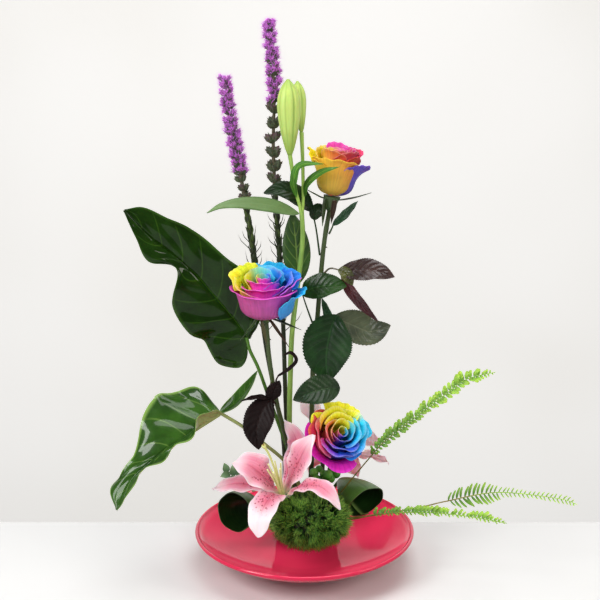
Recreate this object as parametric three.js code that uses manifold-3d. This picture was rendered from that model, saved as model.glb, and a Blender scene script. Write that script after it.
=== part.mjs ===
// A one-sided flower arrangement that stands in a shallow glazed bowl.
//
// Units are millimetres. +Z points up and the arrangement faces -Y. The origin is the centre of
// the bowl's flat foot, on the surface that the bowl stands on.
//
// Every cut stem runs from its foot in the floral foam to its flower or leaf, so a plant is
// described by its route, and what grows on it is placed from that route.

import * as THREE from 'three';
import { mergeVertices } from 'three/addons/utils/BufferGeometryUtils.js';
import Module from 'manifold-3d';

const wasm = await Module();
wasm.setup();

// ---------------------------------------------------------------------------------------------
// Driving dimensions
// ---------------------------------------------------------------------------------------------

const GAP = 0.3; // clearance that pieces seated on each other keep

const BOWL = { rimRadius: 110, rimHeight: 36, footRadius: 42, footHeight: 6, wall: 4, floor: 12 };
const PUTTY = { radius: 17, thickness: 2 };
const ANCHOR = { radius: 18, thickness: 2.4, prongs: 4, prongRadius: 1.6, prongCircle: 11, reach: 15 };
const FOAM = { x: 2, y: 22, radius: 31, top: 62, bevel: 3 };

const LEAF_THICKNESS = 0.8;
const PETAL_THICKNESS = 0.8;
const STEM_SPACING = 22; // length of one straight step of a stem
const STEM_SIDES = 8;
const HOLE_CLEARANCE = 0.6; // room around a stem in its hole in the foam
const SLIVER = 0.02; // a join drops faces that are thinner than this

// Radius of each cut stem, and its route from the foot in the foam up to its flower or leaf.
const STEMS = {
  upper_rose: {
    radius: 2.4,
    route: [
      [5, 25, 26], [6, 22, 62], [7, 19, 101], [8, 18, 186], [12, 18, 242], [18, 17, 318], [24.5, 15, 362],
    ],
  },
  middle_rose: {
    radius: 2.3,
    route: [
      [-3, 8, 26], [-6, 5, 62], [-14, -1, 114], [-28, -12, 176], [-34, -17, 220], [-36.4, -19.4, 254.4],
    ],
  },
  lower_rose: {
    radius: 2.3,
    route: [[15, 18, 26], [17, 15, 62], [18, 13, 90], [19, 10, 108], [22.2, 4.8, 122.2]],
  },
  lily_buds: {
    radius: 2.5,
    route: [
      [-12, 22, 26], [-14, 21, 62], [-15, 18, 110], [-15, 13, 151], [-14, 8, 193],
      [-12, 7, 240], [-5, 6, 300], [-2, 6, 332], [-3, 5.5, 358],
    ],
  },
  open_lily: {
    radius: 2.2, spacing: 12, route: [[-13, 4, 32], [-14, -5, 62], [-16, -20, 77], [-19.8, -43, 84.4]],
  },
  back_lily: {
    radius: 2.2, spacing: 12, route: [[20, 36, 26], [22, 35, 62], [28, 34, 86], [34.8, 37, 101.5]],
  },
  left_liatris: {
    radius: 2.2,
    route: [[-17, 32, 26], [-20, 30, 62], [-22, 27, 124], [-38, 23, 218], [-50, 20, 318], [-57, 20, 364]],
  },
  right_liatris: {
    radius: 2.2,
    route: [
      [-9, 42, 26], [-12, 39, 62], [-17, 35, 111], [-19, 32, 157], [-21, 30, 235], [-24, 30, 303],
      [-29, 30, 374],
    ],
  },
};

// ---------------------------------------------------------------------------------------------
// Finishes
// ---------------------------------------------------------------------------------------------

const finish = (color, roughness) => new THREE.MeshStandardMaterial({ color, roughness, metalness: 0 });

const FINISHES = {
  glaze: finish(0xc81e46, 0.12),
  putty: finish(0x4f6b45, 0.9),
  anchor: finish(0x2f5a34, 0.5),
  foam: finish(0x3f6b3f, 0.95),
  roseStem: finish(0x4a5f2c, 0.55),
  lilyStem: finish(0x6f9a3c, 0.5),
  roseYellow: finish(0xf2b81c, 0.6),
  roseMagenta: finish(0xe02aa8, 0.6),
  roseBlue: finish(0x2a78d8, 0.6),
  rosePurple: finish(0x7a3fc0, 0.6),
  roseLeaf: finish(0x1f3d22, 0.4),
  bronzeLeaf: finish(0x3a2527, 0.4),
  lilyLeaf: finish(0x4b7a35, 0.5),
  lilyBud: finish(0x9cc04c, 0.5),
  lilyPetal: finish(0xe88fae, 0.55),
  lilyStyle: finish(0xc8cc78, 0.5),
  anthurium: finish(0x1d4a1e, 0.25),
  rolledLeaf: finish(0x16381c, 0.35),
  dianthus: finish(0x2f7a1c, 0.8),
  berry: finish(0x3f7f2a, 0.35),
  fern: finish(0x86b92e, 0.6),
  liatris: finish(0x8a3f9e, 0.75),
  liatrisStem: finish(0x3c5426, 0.6),
};

// ---------------------------------------------------------------------------------------------
// Solids: welding, joining and cutting
// ---------------------------------------------------------------------------------------------

/** Keeps only merged positions, and drops triangles that have collapsed. */
function weld(geometry) {
  geometry.deleteAttribute('normal');
  geometry.deleteAttribute('uv');
  const merged = mergeVertices(geometry, 1e-4);
  const index = merged.index.array;
  const kept = [];
  for (let i = 0; i < index.length; i += 3) {
    const [a, b, c] = [index[i], index[i + 1], index[i + 2]];
    if (a !== b && b !== c && c !== a) {
      kept.push(a, b, c);
    }
  }
  merged.setIndex(kept);
  return merged;
}

/** Makes a manifold solid of a closed geometry. */
function toSolid(geometry) {
  const welded = weld(geometry);
  const vertProperties = new Float32Array(welded.attributes.position.array);
  const triVerts = new Uint32Array(welded.index.array);
  return new wasm.Manifold(new wasm.Mesh({ numProp: 3, vertProperties, triVerts }));
}

/** Makes a three.js geometry of a manifold solid. */
function toGeometry(solid) {
  const { vertProperties, triVerts } = solid.getMesh();
  const geometry = new THREE.BufferGeometry();
  geometry.setAttribute('position', new THREE.BufferAttribute(vertProperties, 3));
  geometry.setIndex(new THREE.BufferAttribute(triVerts, 1));
  return geometry;
}

/** Joins closed geometries that overlap into one, without the slivers that a join can leave. */
function join(...geometries) {
  const whole = geometries.map(toSolid).reduce((joined, piece) => joined.add(piece));
  return toGeometry(whole.simplify(SLIVER));
}

/** Cuts closed geometries out of a closed geometry. */
function cut(geometry, ...tools) {
  return toGeometry(tools.map(toSolid).reduce((whole, tool) => whole.subtract(tool), toSolid(geometry)));
}

// ---------------------------------------------------------------------------------------------
// Shapes
// ---------------------------------------------------------------------------------------------

const vector = ([x, y, z]) => new THREE.Vector3(x, y, z);
const unit = (direction) => vector(direction).normalize();
const routeCurve = (points) => new THREE.CatmullRomCurve3(points.map(vector), false, 'catmullrom', 0.5);

/** Moves every vertex of a geometry to the point that place(vertex) returns. */
function bend(geometry, place) {
  const position = geometry.attributes.position;
  for (let i = 0; i < position.count; i += 1) {
    const point = place(new THREE.Vector3().fromBufferAttribute(position, i));
    position.setXYZ(i, point.x, point.y, point.z);
  }
  return geometry;
}

/** A flat plate, 2 wide, 1 long and 1 thick, whose two sides are split into the same triangles. */
function flatPlate(acrossSteps, alongSteps) {
  const sheet = new THREE.PlaneGeometry(2, 1, acrossSteps, alongSteps);
  const flat = sheet.attributes.position;
  const upper = Array.from(sheet.index.array);
  const positions = [0.5, -0.5].flatMap((height) => (
    Array.from({ length: flat.count }, (_, i) => [flat.getX(i), flat.getY(i), height]).flat()
  ));
  const edges = upper.map((from, i) => [from, upper[i % 3 === 2 ? i - 2 : i + 1]]);
  const names = new Set(edges.map(([from, to]) => `${from} ${to}`));
  const rim = edges.filter(([from, to]) => !names.has(`${to} ${from}`));
  const walls = rim.flatMap(([from, to]) => [
    to, from, from + flat.count, to, from + flat.count, to + flat.count,
  ]);
  const lower = upper.map((vertex) => vertex + flat.count).reverse();
  const plate = new THREE.BufferGeometry();
  plate.setAttribute('position', new THREE.Float32BufferAttribute(positions, 3));
  plate.setIndex([...upper, ...walls, ...lower]);
  return plate;
}

/** A round stem of one radius along a route. */
function tube(route, radius, spacing = STEM_SPACING, sides = STEM_SIDES) {
  const extrudePath = routeCurve(route);
  const section = new THREE.Shape().absarc(0, 0, radius, 0, 2 * Math.PI);
  const steps = Math.max(2, Math.round(extrudePath.getLength() / spacing));
  return new THREE.ExtrudeGeometry(section, { steps, extrudePath, curveSegments: sides / 2 });
}

/** The room that a stem needs in the foam: the stem swollen by the gap, and a little deeper. */
function stemHole(route, radius, spacing = STEM_SPACING, sides = STEM_SIDES) {
  const [foot, next, ...rest] = route.map(vector);
  const deeper = foot.clone().addScaledVector(next.clone().sub(foot).normalize(), -3 * GAP);
  return tube(
    [deeper, next, ...rest].map((point) => point.toArray()), radius + HOLE_CLEARANCE, spacing, sides,
  );
}

/** A turned shape whose axis is bent along a route. The profile is [share of the length, radius]. */
function turned(route, profile, sides, lobes = 0, lobeDepth = 0) {
  const curve = routeCurve(route);
  const points = profile.map(([along, radius]) => new THREE.Vector2(radius, along));
  const geometry = weld(new THREE.LatheGeometry(points, sides));
  return bend(geometry, (vertex) => {
    const along = THREE.MathUtils.clamp(vertex.y, 0, 1);
    const tangent = curve.getTangentAt(along);
    const across = new THREE.Vector3(0, 1, 0).cross(tangent).normalize();
    const depth = new THREE.Vector3().crossVectors(tangent, across);
    const swell = 1 + lobeDepth * Math.cos(lobes * Math.atan2(vertex.z, vertex.x));
    return curve.getPointAt(along)
      .addScaledVector(across, vertex.z * swell)
      .addScaledVector(depth, vertex.x * swell);
  });
}

// Half-width of a blade along its length, as a share of its greatest half-width.
const OUTLINES = {
  oval: (u) => Math.sin(Math.PI * u ** 0.85) ** 0.75,
  lance: (u) => Math.sin(Math.PI * u ** 0.7) ** 0.9,
  strap: (u) => Math.sin(Math.PI * u) ** 0.35,
  tepal: (u) => Math.sin(Math.PI * u ** 1.4) ** 0.9,
};
const LEAST_HALF_WIDTH = 0.7;

/**
 * A leaf or petal: a thin plate along a spine. facing is the way that its upper side looks, fold
 * is the angle that lifts both halves into a V, and cup bends them into a trough.
 */
function blade({
  spine, facing, facingEnd = facing, halfWidth, outline = 'oval', fold = 0, cup = 0,
  thickness = LEAF_THICKNESS, columns = 7, rows = 2,
}) {
  const curve = routeCurve(spine);
  const plate = flatPlate(rows, columns);
  return bend(plate, (vertex) => {
    const along = THREE.MathUtils.clamp(vertex.y + 0.5, 0, 1);
    const across = vertex.x;
    const tangent = curve.getTangentAt(along);
    const upper = vector(facing).lerp(vector(facingEnd), along);
    const side = tangent.clone().cross(upper).normalize();
    const normal = side.clone().cross(tangent);
    const width = Math.max(LEAST_HALF_WIDTH, halfWidth * OUTLINES[outline](along));
    const lift = width * (Math.sin(fold) * Math.abs(across) + cup * across ** 2);
    return curve.getPointAt(along)
      .addScaledVector(side, width * across * Math.cos(fold))
      .addScaledVector(normal, lift + thickness * vertex.z);
  });
}

// ---------------------------------------------------------------------------------------------
// Holder: bowl, putty, foam anchor and foam
// ---------------------------------------------------------------------------------------------

/** Turns a profile of [radius, height] points about the vertical axis. */
function lathe(profile, sides) {
  const geometry = new THREE.LatheGeometry(profile.map(([r, z]) => new THREE.Vector2(r, z)), sides);
  return weld(geometry).rotateX(Math.PI / 2);
}

function bowlGeometry() {
  const { rimRadius, rimHeight, footRadius, footHeight, wall, floor } = BOWL;
  const sweep = (from, control, to, steps) => new THREE.QuadraticBezierCurve(
    new THREE.Vector2(...from), new THREE.Vector2(...control), new THREE.Vector2(...to),
  ).getPoints(steps).map((point) => [point.x, point.y]);
  const underside = sweep(
    [footRadius + 1, footHeight], [rimRadius * 0.78, footHeight + 7], [rimRadius - 0.4, rimHeight - 3], 5,
  );
  const lip = [[rimRadius, rimHeight - 1.2], [rimRadius - 1, rimHeight], [rimRadius - 2.6, rimHeight - 0.2]];
  const inside = sweep(
    [rimRadius - wall + 0.4, rimHeight - 1.6], [rimRadius * 0.76, floor + 5], [footRadius, floor], 5,
  );
  return lathe(
    [[0, 0], [footRadius - 1.5, 0], [footRadius, 1.5], ...underside, ...lip, ...inside, [0, floor]], 40,
  );
}

const PUTTY_BASE = BOWL.floor + GAP;
const ANCHOR_BASE = PUTTY_BASE + PUTTY.thickness + GAP;
const FOAM_BASE = ANCHOR_BASE + ANCHOR.thickness + GAP;

function puttyGeometry() {
  const { radius, thickness } = PUTTY;
  return lathe([[0, 0], [radius, 0], [radius + 1, thickness / 2], [radius, thickness], [0, thickness]], 20)
    .translate(FOAM.x, FOAM.y, PUTTY_BASE);
}

/** A plastic disc with prongs; clearance swells the prongs for the holes that they make. */
function anchorProngs(clearance) {
  const prong = new THREE.ConeGeometry(1, 1, 8).rotateX(Math.PI / 2).translate(0, 0, 0.5);
  prong.scale(ANCHOR.prongRadius + clearance, ANCHOR.prongRadius + clearance, ANCHOR.reach + 3 * clearance);
  const base = ANCHOR_BASE + ANCHOR.thickness / 2;
  return Array.from({ length: ANCHOR.prongs }, (_, i) => {
    const turn = (2 * Math.PI * (i + 0.5)) / ANCHOR.prongs;
    const [x, y] = [ANCHOR.prongCircle * Math.cos(turn), ANCHOR.prongCircle * Math.sin(turn)];
    return prong.clone().translate(FOAM.x + x, FOAM.y + y, base);
  });
}

function anchorGeometry() {
  const { radius, thickness } = ANCHOR;
  const disc = lathe([[0, 0], [radius, 0], [radius, thickness], [0, thickness]], 20)
    .translate(FOAM.x, FOAM.y, ANCHOR_BASE);
  return join(disc, ...anchorProngs(0));
}

function foamGeometry(holes) {
  const { radius, top, bevel } = FOAM;
  const block = lathe(
    [[0, FOAM_BASE], [radius, FOAM_BASE], [radius, top - bevel], [radius - bevel, top], [0, top]], 20,
  ).translate(FOAM.x, FOAM.y, 0);
  return cut(block, ...anchorProngs(GAP), ...holes);
}

// ---------------------------------------------------------------------------------------------
// Roses
// ---------------------------------------------------------------------------------------------

const CALYX_HEIGHT = 9;

// Profile of the packed petals: [share of the radius, share of the height].
const BLOOM_PROFILE = [
  [0, 0.01], [0.26, 0.01], [0.5, 0.16], [0.7, 0.42], [0.81, 0.7], [0.85, 0.92],
  [0.79, 0.93], [0.66, 0.74], [0.58, 0.97], [0.44, 0.78], [0.36, 1], [0.22, 0.84], [0.14, 1], [0, 0.92],
];

/** Places a piece that was made along +Z at a point, turned to an axis. */
function aim(geometry, point, axis) {
  const turn = new THREE.Quaternion().setFromUnitVectors(new THREE.Vector3(0, 0, 1), unit(axis));
  return geometry.applyQuaternion(turn).translate(...point);
}

function bloomGeometry({ radius, height }) {
  const profile = BLOOM_PROFILE.map(([r, z]) => [r * radius, z * height]);
  const bloom = lathe(profile, 15);
  return bend(bloom, (vertex) => {
    const turn = Math.atan2(vertex.y, vertex.x);
    const spiral = 1 + 0.02 * Math.cos(3 * turn + vertex.z / 4);
    return new THREE.Vector3(vertex.x * spiral, vertex.y * spiral, vertex.z);
  });
}

/** One outer petal, which wraps the bloom and rolls out at its top edge. */
function outerPetalGeometry({ radius, height }, azimuth, spread) {
  const plate = weld(new THREE.BoxGeometry(2, 1, 1, 6, 4, 1));
  return bend(plate, (vertex) => {
    const rise = vertex.y + 0.5;
    const turn = azimuth + spread * vertex.x * (0.45 + 0.55 * Math.sin(0.5 * Math.PI * rise));
    const wall = 0.4 + 0.52 * Math.sin(0.5 * Math.PI * rise) ** 0.6 + 0.05 * rise ** 4;
    const reach = wall * radius + PETAL_THICKNESS * vertex.z + GAP;
    const z = height * (0.06 + 0.86 * rise * (1 - 0.14 * vertex.x ** 2));
    return new THREE.Vector3(reach * Math.cos(turn), reach * Math.sin(turn), z);
  });
}

/** The green cup under a bloom, with its five thin sepals spread below the petals. */
function calyxGeometry({ radius }, sepals) {
  const top = CALYX_HEIGHT - GAP;
  const cup = lathe([[0, 0], [2.6, 0], [4.6, 2.5], [5.6, 5.5], [7.6, top - 0.7], [7, top], [0, top]], 12);
  const strips = sepals.map(({ azimuth, reach, rise }) => {
    const [c, s] = [Math.cos(azimuth), Math.sin(azimuth)];
    const at = (r, z) => [r * c, r * s, z];
    return blade({
      spine: [at(4, 6), at(9, 6.5), at(0.6 * reach * radius, 5 + 0.3 * rise), at(reach * radius, 5 + rise)],
      facing: [-0.3 * c, -0.3 * s, 1], halfWidth: 2, outline: 'lance', columns: 4,
    });
  });
  return join(cup, ...strips);
}

const ROSES = {
  upper_rose: {
    bloom: { radius: 29.5, height: 47 }, base: [25.8, 15, 371.4], axis: [0.13, 0, 1],
    petals: [{ azimuth: -1.9, spread: 1.15 }, { azimuth: -0.25, spread: 0.45 }],
    sepals: [-0.2, 1.2, 2.4, 3.6, 4.9], finishes: ['roseYellow', 'roseYellow', 'rosePurple'],
  },
  middle_rose: {
    bloom: { radius: 38, height: 42 }, base: [-37, -22.6, 264], axis: [-0.05, -0.33, 0.94],
    petals: [{ azimuth: -1.75, spread: 1.2 }, { azimuth: 0.1, spread: 0.6 }],
    sepals: [-0.5, 0.9, 2.2, 3.5, 4.6], finishes: ['roseMagenta', 'roseMagenta', 'roseBlue'],
  },
  lower_rose: {
    bloom: { radius: 33, height: 42 }, base: [25.4, -3, 128.4], axis: [0.3, -0.77, 0.58],
    petals: [{ azimuth: -1.6, spread: 1.1 }, { azimuth: 0.5, spread: 0.7 }],
    sepals: [-0.7, 0.6, 1.9, 3.1, 4.3], finishes: ['roseYellow', 'roseMagenta', 'roseBlue'],
  },
};

// Each leaf is a rachis, the thin stalk that carries its leaflets, and the leaflets.
const ROSE_LEAVES = {
  upper_rose_leaf_1: {
    finish: 'roseLeaf',
    rachis: [[14.6, 19.5, 312], [11, 19, 338], [7, 17, 357]],
    leaflets: [
      {
        spine: [[7.5, 17, 356], [-5, 16, 369], [-22, 14, 377], [-39, 12, 374]], facing: [0.1, -0.75, 0.65],
        halfWidth: 11,
      },
      {
        spine: [[9, 18, 347], [10.5, 17.5, 354], [14, 18.5, 358], [19, 21, 357]], facing: [0.3, -0.8, 0.5],
        halfWidth: 7,
      },
    ],
  },
  upper_rose_leaf_2: {
    finish: 'roseLeaf',
    rachis: [[23.5, 15.6, 334], [25.6, 13, 339], [27.4, 10.6, 344]],
    leaflets: [
      { spine: [[26.4, 11, 343], [37, 6, 353], [50, 2, 368]], facing: [-0.4, -0.8, 0.4], halfWidth: 4.6 },
    ],
  },
  upper_rose_leaf_3: {
    finish: 'roseLeaf',
    rachis: [[9.4, 15.8, 240], [2, 12, 262], [-2, 6.4, 276]],
    leaflets: [
      {
        spine: [[-2, 6, 276], [8, 3, 283], [24, -1, 287], [40, -4, 287]], facing: [0, -0.8, 0.6],
        halfWidth: 13.5,
      },
    ],
  },
  upper_rose_leaf_4: {
    finish: 'bronzeLeaf',
    rachis: [[18.8, 15.6, 295], [25, 11, 301], [36, 4, 300]],
    leaflets: [
      {
        spine: [[33, 5, 301], [47, 3, 300], [66, 1, 301], [86, 0, 295]], facing: [0, -0.7, 0.75],
        halfWidth: 13,
      },
      {
        spine: [[35, 4.4, 302], [42, 1, 285], [54, -5, 270], [70, -10, 254]], facing: [-0.6, -0.7, 0.3],
        halfWidth: 6,
      },
    ],
  },
  upper_rose_leaf_5: {
    finish: 'roseLeaf',
    rachis: [[14.4, 16.8, 238], [20, 12, 246], [29, 4, 254], [33, 1, 257]],
    leaflets: [
      {
        spine: [[28, 4.6, 254], [46, 4, 246], [64, 2, 240], [83, 0, 247]], facing: [0.1, -0.85, 0.5],
        halfWidth: 17,
      },
      {
        spine: [[31, 2.4, 257], [25, -1, 242], [21, -5, 217], [22, -8, 192]], facing: [-0.1, -0.95, 0.3],
        halfWidth: 25,
      },
      {
        spine: [[19, 12.6, 244], [24, 22, 246], [21, 25, 257], [17, 24, 268]], facing: [-0.3, -0.9, 0.2],
        halfWidth: 4.5,
      },
    ],
  },
  upper_rose_leaf_6: {
    finish: 'roseLeaf',
    rachis: [[10.2, 15.9, 172], [24, 4, 181], [32, -10, 187], [33, -17, 187.5]],
    leaflets: [{
      spine: [[34, -15, 187.5], [21, -22, 190], [4, -30, 188], [-11, -35, 183]],
      facing: [0, -0.9, 0.45], halfWidth: 15, fold: 0.2,
    }],
  },
  middle_rose_leaf_1: {
    finish: 'bronzeLeaf',
    rachis: [[-28.4, -14.1, 172], [-31, -20, 178], [-33.4, -22.6, 180.4]],
    leaflets: [
      {
        spine: [[-32, -23, 181], [-40, -29, 171], [-46, -34, 153], [-44, -38, 134]],
        facing: [-0.2, -1, 0.2], halfWidth: 15,
      },
      { spine: [[-32, -22, 178], [-30, -24, 188], [-24, -25, 199]], facing: [0.2, -1, 0.2], halfWidth: 8 },
      {
        spine: [[-32, -22, 180], [-46, -30, 184], [-61, -36, 182]], facing: [0, -0.5, 1], halfWidth: 3.4,
        outline: 'lance',
      },
    ],
  },
  middle_rose_leaf_2: {
    finish: 'bronzeLeaf',
    rachis: [[-28, -16.4, 192], [-27, -19, 199], [-24, -21, 204]],
    leaflets: [{
      spine: [[-26, -20, 202], [-14, -25, 212], [-8, -28, 221], [-13, -28, 228], [-20, -26, 225]],
      facing: [0, -1, 0], halfWidth: 1.8, outline: 'strap',
    }],
  },
};

function compoundLeaf({ rachis, leaflets }) {
  return join(tube(rachis, 0.9, 16, 5), ...leaflets.map(blade));
}

// ---------------------------------------------------------------------------------------------
// Lilies
// ---------------------------------------------------------------------------------------------

const PEDICELS = [
  [[-3, 5.5, 352], [-5, 4.5, 364], [-9, 2, 380], [-14, 0, 412]],
  [[-3, 5.5, 352], [-1.5, 7, 370], [-2, 12, 404], [-3, 15, 431]],
];
const BUDS = {
  lily_bud_front: { route: [[-14, 0, 412.6], [-15, 0, 448], [-15.5, 0, 482]], radius: 11 },
  lily_bud_back: { route: [[-3.1, 15.2, 431.6], [-5.5, 16.5, 456], [-7, 17.5, 479]], radius: 7 },
};
const BUD_PROFILE = [
  [0, 0], [0, 0.2], [0.06, 0.34], [0.25, 0.66], [0.5, 0.93], [0.68, 1], [0.85, 0.74], [0.96, 0.3], [1, 0],
];

const LILY_LEAVES = {
  lily_leaf_1: {
    spine: [[-5.5, 3.5, 356], [-31, -6, 365], [-57, -14, 369], [-77, -22, 368], [-90, -30, 363]],
    facing: [0, -0.7, 0.7], halfWidth: 8, outline: 'lance',
  },
  lily_leaf_2: {
    spine: [[-8.1, 1, 372], [-10, -6, 389], [-4, -12, 404], [17, -22, 407]],
    facing: [-0.5, -0.6, 0.5], facingEnd: [0, -0.6, 0.8], halfWidth: 3.5, outline: 'lance',
  },
  lily_leaf_3: {
    spine: [[-0.1, 5.1, 372], [3, -3, 386], [16, -12, 398], [32, -20, 404]],
    facing: [-0.5, -0.7, 0.5], halfWidth: 3.2, outline: 'lance',
  },
  lily_leaf_4: {
    spine: [[-6.4, 10, 286], [-7, 12, 303], [-9, 14, 330], [-12, 13, 355]], facing: [0, -1, 0.15],
    halfWidth: 13,
  },
};

// A tepal leaves the throat along the flower's axis and passes its mid points to its tip. Every
// other one, starting with the first, belongs to the broad inner whorl.
const OPEN_LILY = {
  throat: [-21, -46, 89], axis: [-0.18, -0.44, 0.88],
  tepals: [
    { route: [[-34, -70, 96], [-41, -85, 85], [-43, -88, 66]], halfWidth: 15 },
    { route: [[0, -68, 110], [13, -77, 113], [25, -83, 106], [33, -86, 93]], halfWidth: 8.5 },
    { route: [[-9, -54, 121], [-1, -56, 140], [8, -56, 156]], halfWidth: 15.5 },
    { route: [[-14, -32, 117], [-8, -24, 138], [-20, -20, 158]], halfWidth: 9 },
    { route: [[-40, -54, 114], [-54, -54, 125], [-69, -50, 125]], halfWidth: 17 },
    { route: [[-48, -36, 97], [-70, -34, 97], [-90, -30, 90]], halfWidth: 10 },
  ],
};
const BACK_LILY = {
  throat: [34, 41, 104], axis: [0.13, 0.76, 0.62],
  tepals: [
    { route: [[15, 58, 128], [4, 62, 144], [-3, 66, 160]], halfWidth: 13 },
    { route: [[36, 60, 122], [38, 66, 134], [38, 76, 138]], halfWidth: 9 },
    { route: [[54, 62, 112], [66, 68, 104], [77, 78, 92]], halfWidth: 13 },
    { route: [[56, 58, 92], [72, 62, 88], [89, 70, 77]], halfWidth: 8 },
    { route: [[42, 76, 82], [50, 88, 66], [58, 96, 50]], halfWidth: 13 },
    { route: [[22, 70, 88], [12, 82, 74], [4, 90, 60]], halfWidth: 9 },
  ],
};

/** Spine of a tepal, from the throat to its tip. */
function tepalSpine({ throat, axis }, { route }, inner) {
  const centre = vector(throat);
  const along = unit(axis);
  const outward = vector(route[0]).sub(centre);
  outward.addScaledVector(along, -outward.dot(along)).normalize();
  const at = (radius, rise) => (
    centre.clone().addScaledVector(outward, radius).addScaledVector(along, rise).toArray()
  );
  const throatPoints = inner ? [at(3.2, 1.6), at(7, 11)] : [at(4.4, 0.2), at(9.5, 9)];
  return [...throatPoints, ...route];
}

function tepalGeometry(lily, index, detail, clearance = 0) {
  const inner = index % 2 === 0;
  const tepal = lily.tepals[index];
  return blade({
    spine: tepalSpine(lily, tepal, inner), facing: lily.axis, halfWidth: tepal.halfWidth + clearance,
    outline: 'tepal', cup: 0.12, thickness: PETAL_THICKNESS + 2 * clearance, ...detail,
  });
}

/** The stem end that carries the tepals. */
function receptacle({ throat, axis }, clearance = 0) {
  const top = 4.8 + clearance;
  const cone = lathe(
    [[0, -7], [2 + clearance, -7], [top, -1], [top, -0.5 + clearance], [0, -0.5 + clearance]], 10,
  );
  return aim(cone, throat, axis);
}

/** Six thin filaments, joined at their foot in the throat. */
function stamensGeometry({ throat, axis }) {
  const along = unit(axis);
  const centre = vector(throat);
  const side = along.clone().cross(new THREE.Vector3(0, 0, 1)).normalize();
  const up = side.clone().cross(along);
  const filaments = Array.from({ length: 6 }, (_, i) => {
    const turn = (2 * Math.PI * (i + 0.25)) / 6;
    const at = (radius, rise) => centre.clone().addScaledVector(along, rise)
      .addScaledVector(side, radius * Math.cos(turn)).addScaledVector(up, radius * Math.sin(turn)).toArray();
    return tube([at(1.5, 1.2), at(2.6, 20), at(7, 44)], 0.6, 22, 4);
  });
  const ring = aim(lathe([[1, 0.4], [2.2, 0.4], [2.2, 2], [1, 2], [1, 0.4]], 8), throat, axis);
  return join(ring, ...filaments);
}

function pistilGeometry({ throat, axis }) {
  const along = unit(axis);
  const at = (rise, lean) => (
    vector(throat).addScaledVector(along, rise).add(new THREE.Vector3(lean, 0, 0)).toArray()
  );
  return turned(
    [at(-0.2, 0), at(30, 0), at(58, -1), at(74, -4)],
    [[0, 0], [0, 0.65], [0.9, 0.75], [0.96, 1.7], [1, 1.4], [1, 0]], 8,
  );
}

// ---------------------------------------------------------------------------------------------
// Large leaves: two anthurium leaves on long stalks, and two rolled leaves
// ---------------------------------------------------------------------------------------------

// A leaf's edge is drawn on each side from its back, beside the end of the stalk, to its tip, as
// [length along the midrib, distance from it]. fold is the angle that a side is lifted by, near
// the stalk and near the tip.
const ANTHURIUMS = {
  upper_anthurium_leaf: {
    stalk: [
      [3, 16, 26], [0, 12, 62], [-8, 11, 84], [-15, 10, 110],
      [-33, 8, 164], [-45, 8, 200], [-53.5, 9, 219], [-56.5, 9.7, 232],
    ],
    midrib: [
      [-56, 10, 231], [-67, 10, 248], [-81, 9, 266], [-103, 6, 294], [-126, 3, 317], [-147, 0, 335],
      [-170, -4, 361],
    ],
    facing: [-0.25, -0.95, 0.2], facingEnd: [0.1, -0.85, 0.5],
    sides: [
      {
        edge: [
          [-2, 2], [-16, 11], [-21, 24], [-8, 38], [10, 38], [24, 37], [42, 42],
          [63, 40], [84, 30], [101, 9], [126, 20], [147, 12], [174, 0],
        ],
        fold: [0.1, 0.3],
      },
      {
        edge: [
          [-2, 2], [0.5, 6], [5, 15], [13, 26], [24, 33], [38, 38], [56, 39],
          [78, 34], [102, 31], [124, 28], [146, 22], [165, 13], [174, 0],
        ],
        fold: [0.1, 0.3],
      },
    ],
  },
  lower_anthurium_leaf: {
    stalk: [
      [5, -1, 28], [0, -4, 62], [-8, -8, 90], [-20, -12, 112], [-39, -21, 133], [-58, -27, 152],
      [-82, -28, 168],
    ],
    midrib: [
      [-81, -30, 166], [-97, -39, 158], [-113, -49, 150], [-130, -56, 142], [-150, -64, 127],
      [-162, -68, 116], [-177, -74, 89],
    ],
    facing: [-0.1, -0.76, 0.61], facingEnd: [-0.3, -0.8, 0.5],
    sides: [
      {
        edge: [
          [-2, 2], [0, 8], [8, 16], [20, 23], [31, 22], [41, 14], [52, 9],
          [66, 7], [80, 5], [94, 4], [108, 3], [124, 5], [137, 0],
        ],
        fold: [1.75, 0.6],
      },
      {
        edge: [
          [-2, 2], [-3, 14], [-1, 31], [7, 43], [22, 48], [36, 53], [52, 49],
          [64, 37], [76, 26], [91, 15], [108, 13], [123, 16], [137, 0],
        ],
        fold: [0, 0.1],
      },
    ],
    lobe: {
      spine: [[-82, -29, 167], [-66, -20, 176], [-54, -10, 189], [-46, 0, 201]], facing: [-0.7, -0.65, 0.3],
      halfWidth: 8,
    },
  },
};
const ANTHURIUM_STALK_RADIUS = 1.7;
const ANTHURIUM_STEPS = 12; // steps of a leaf's edge, from its back to its tip

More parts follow.
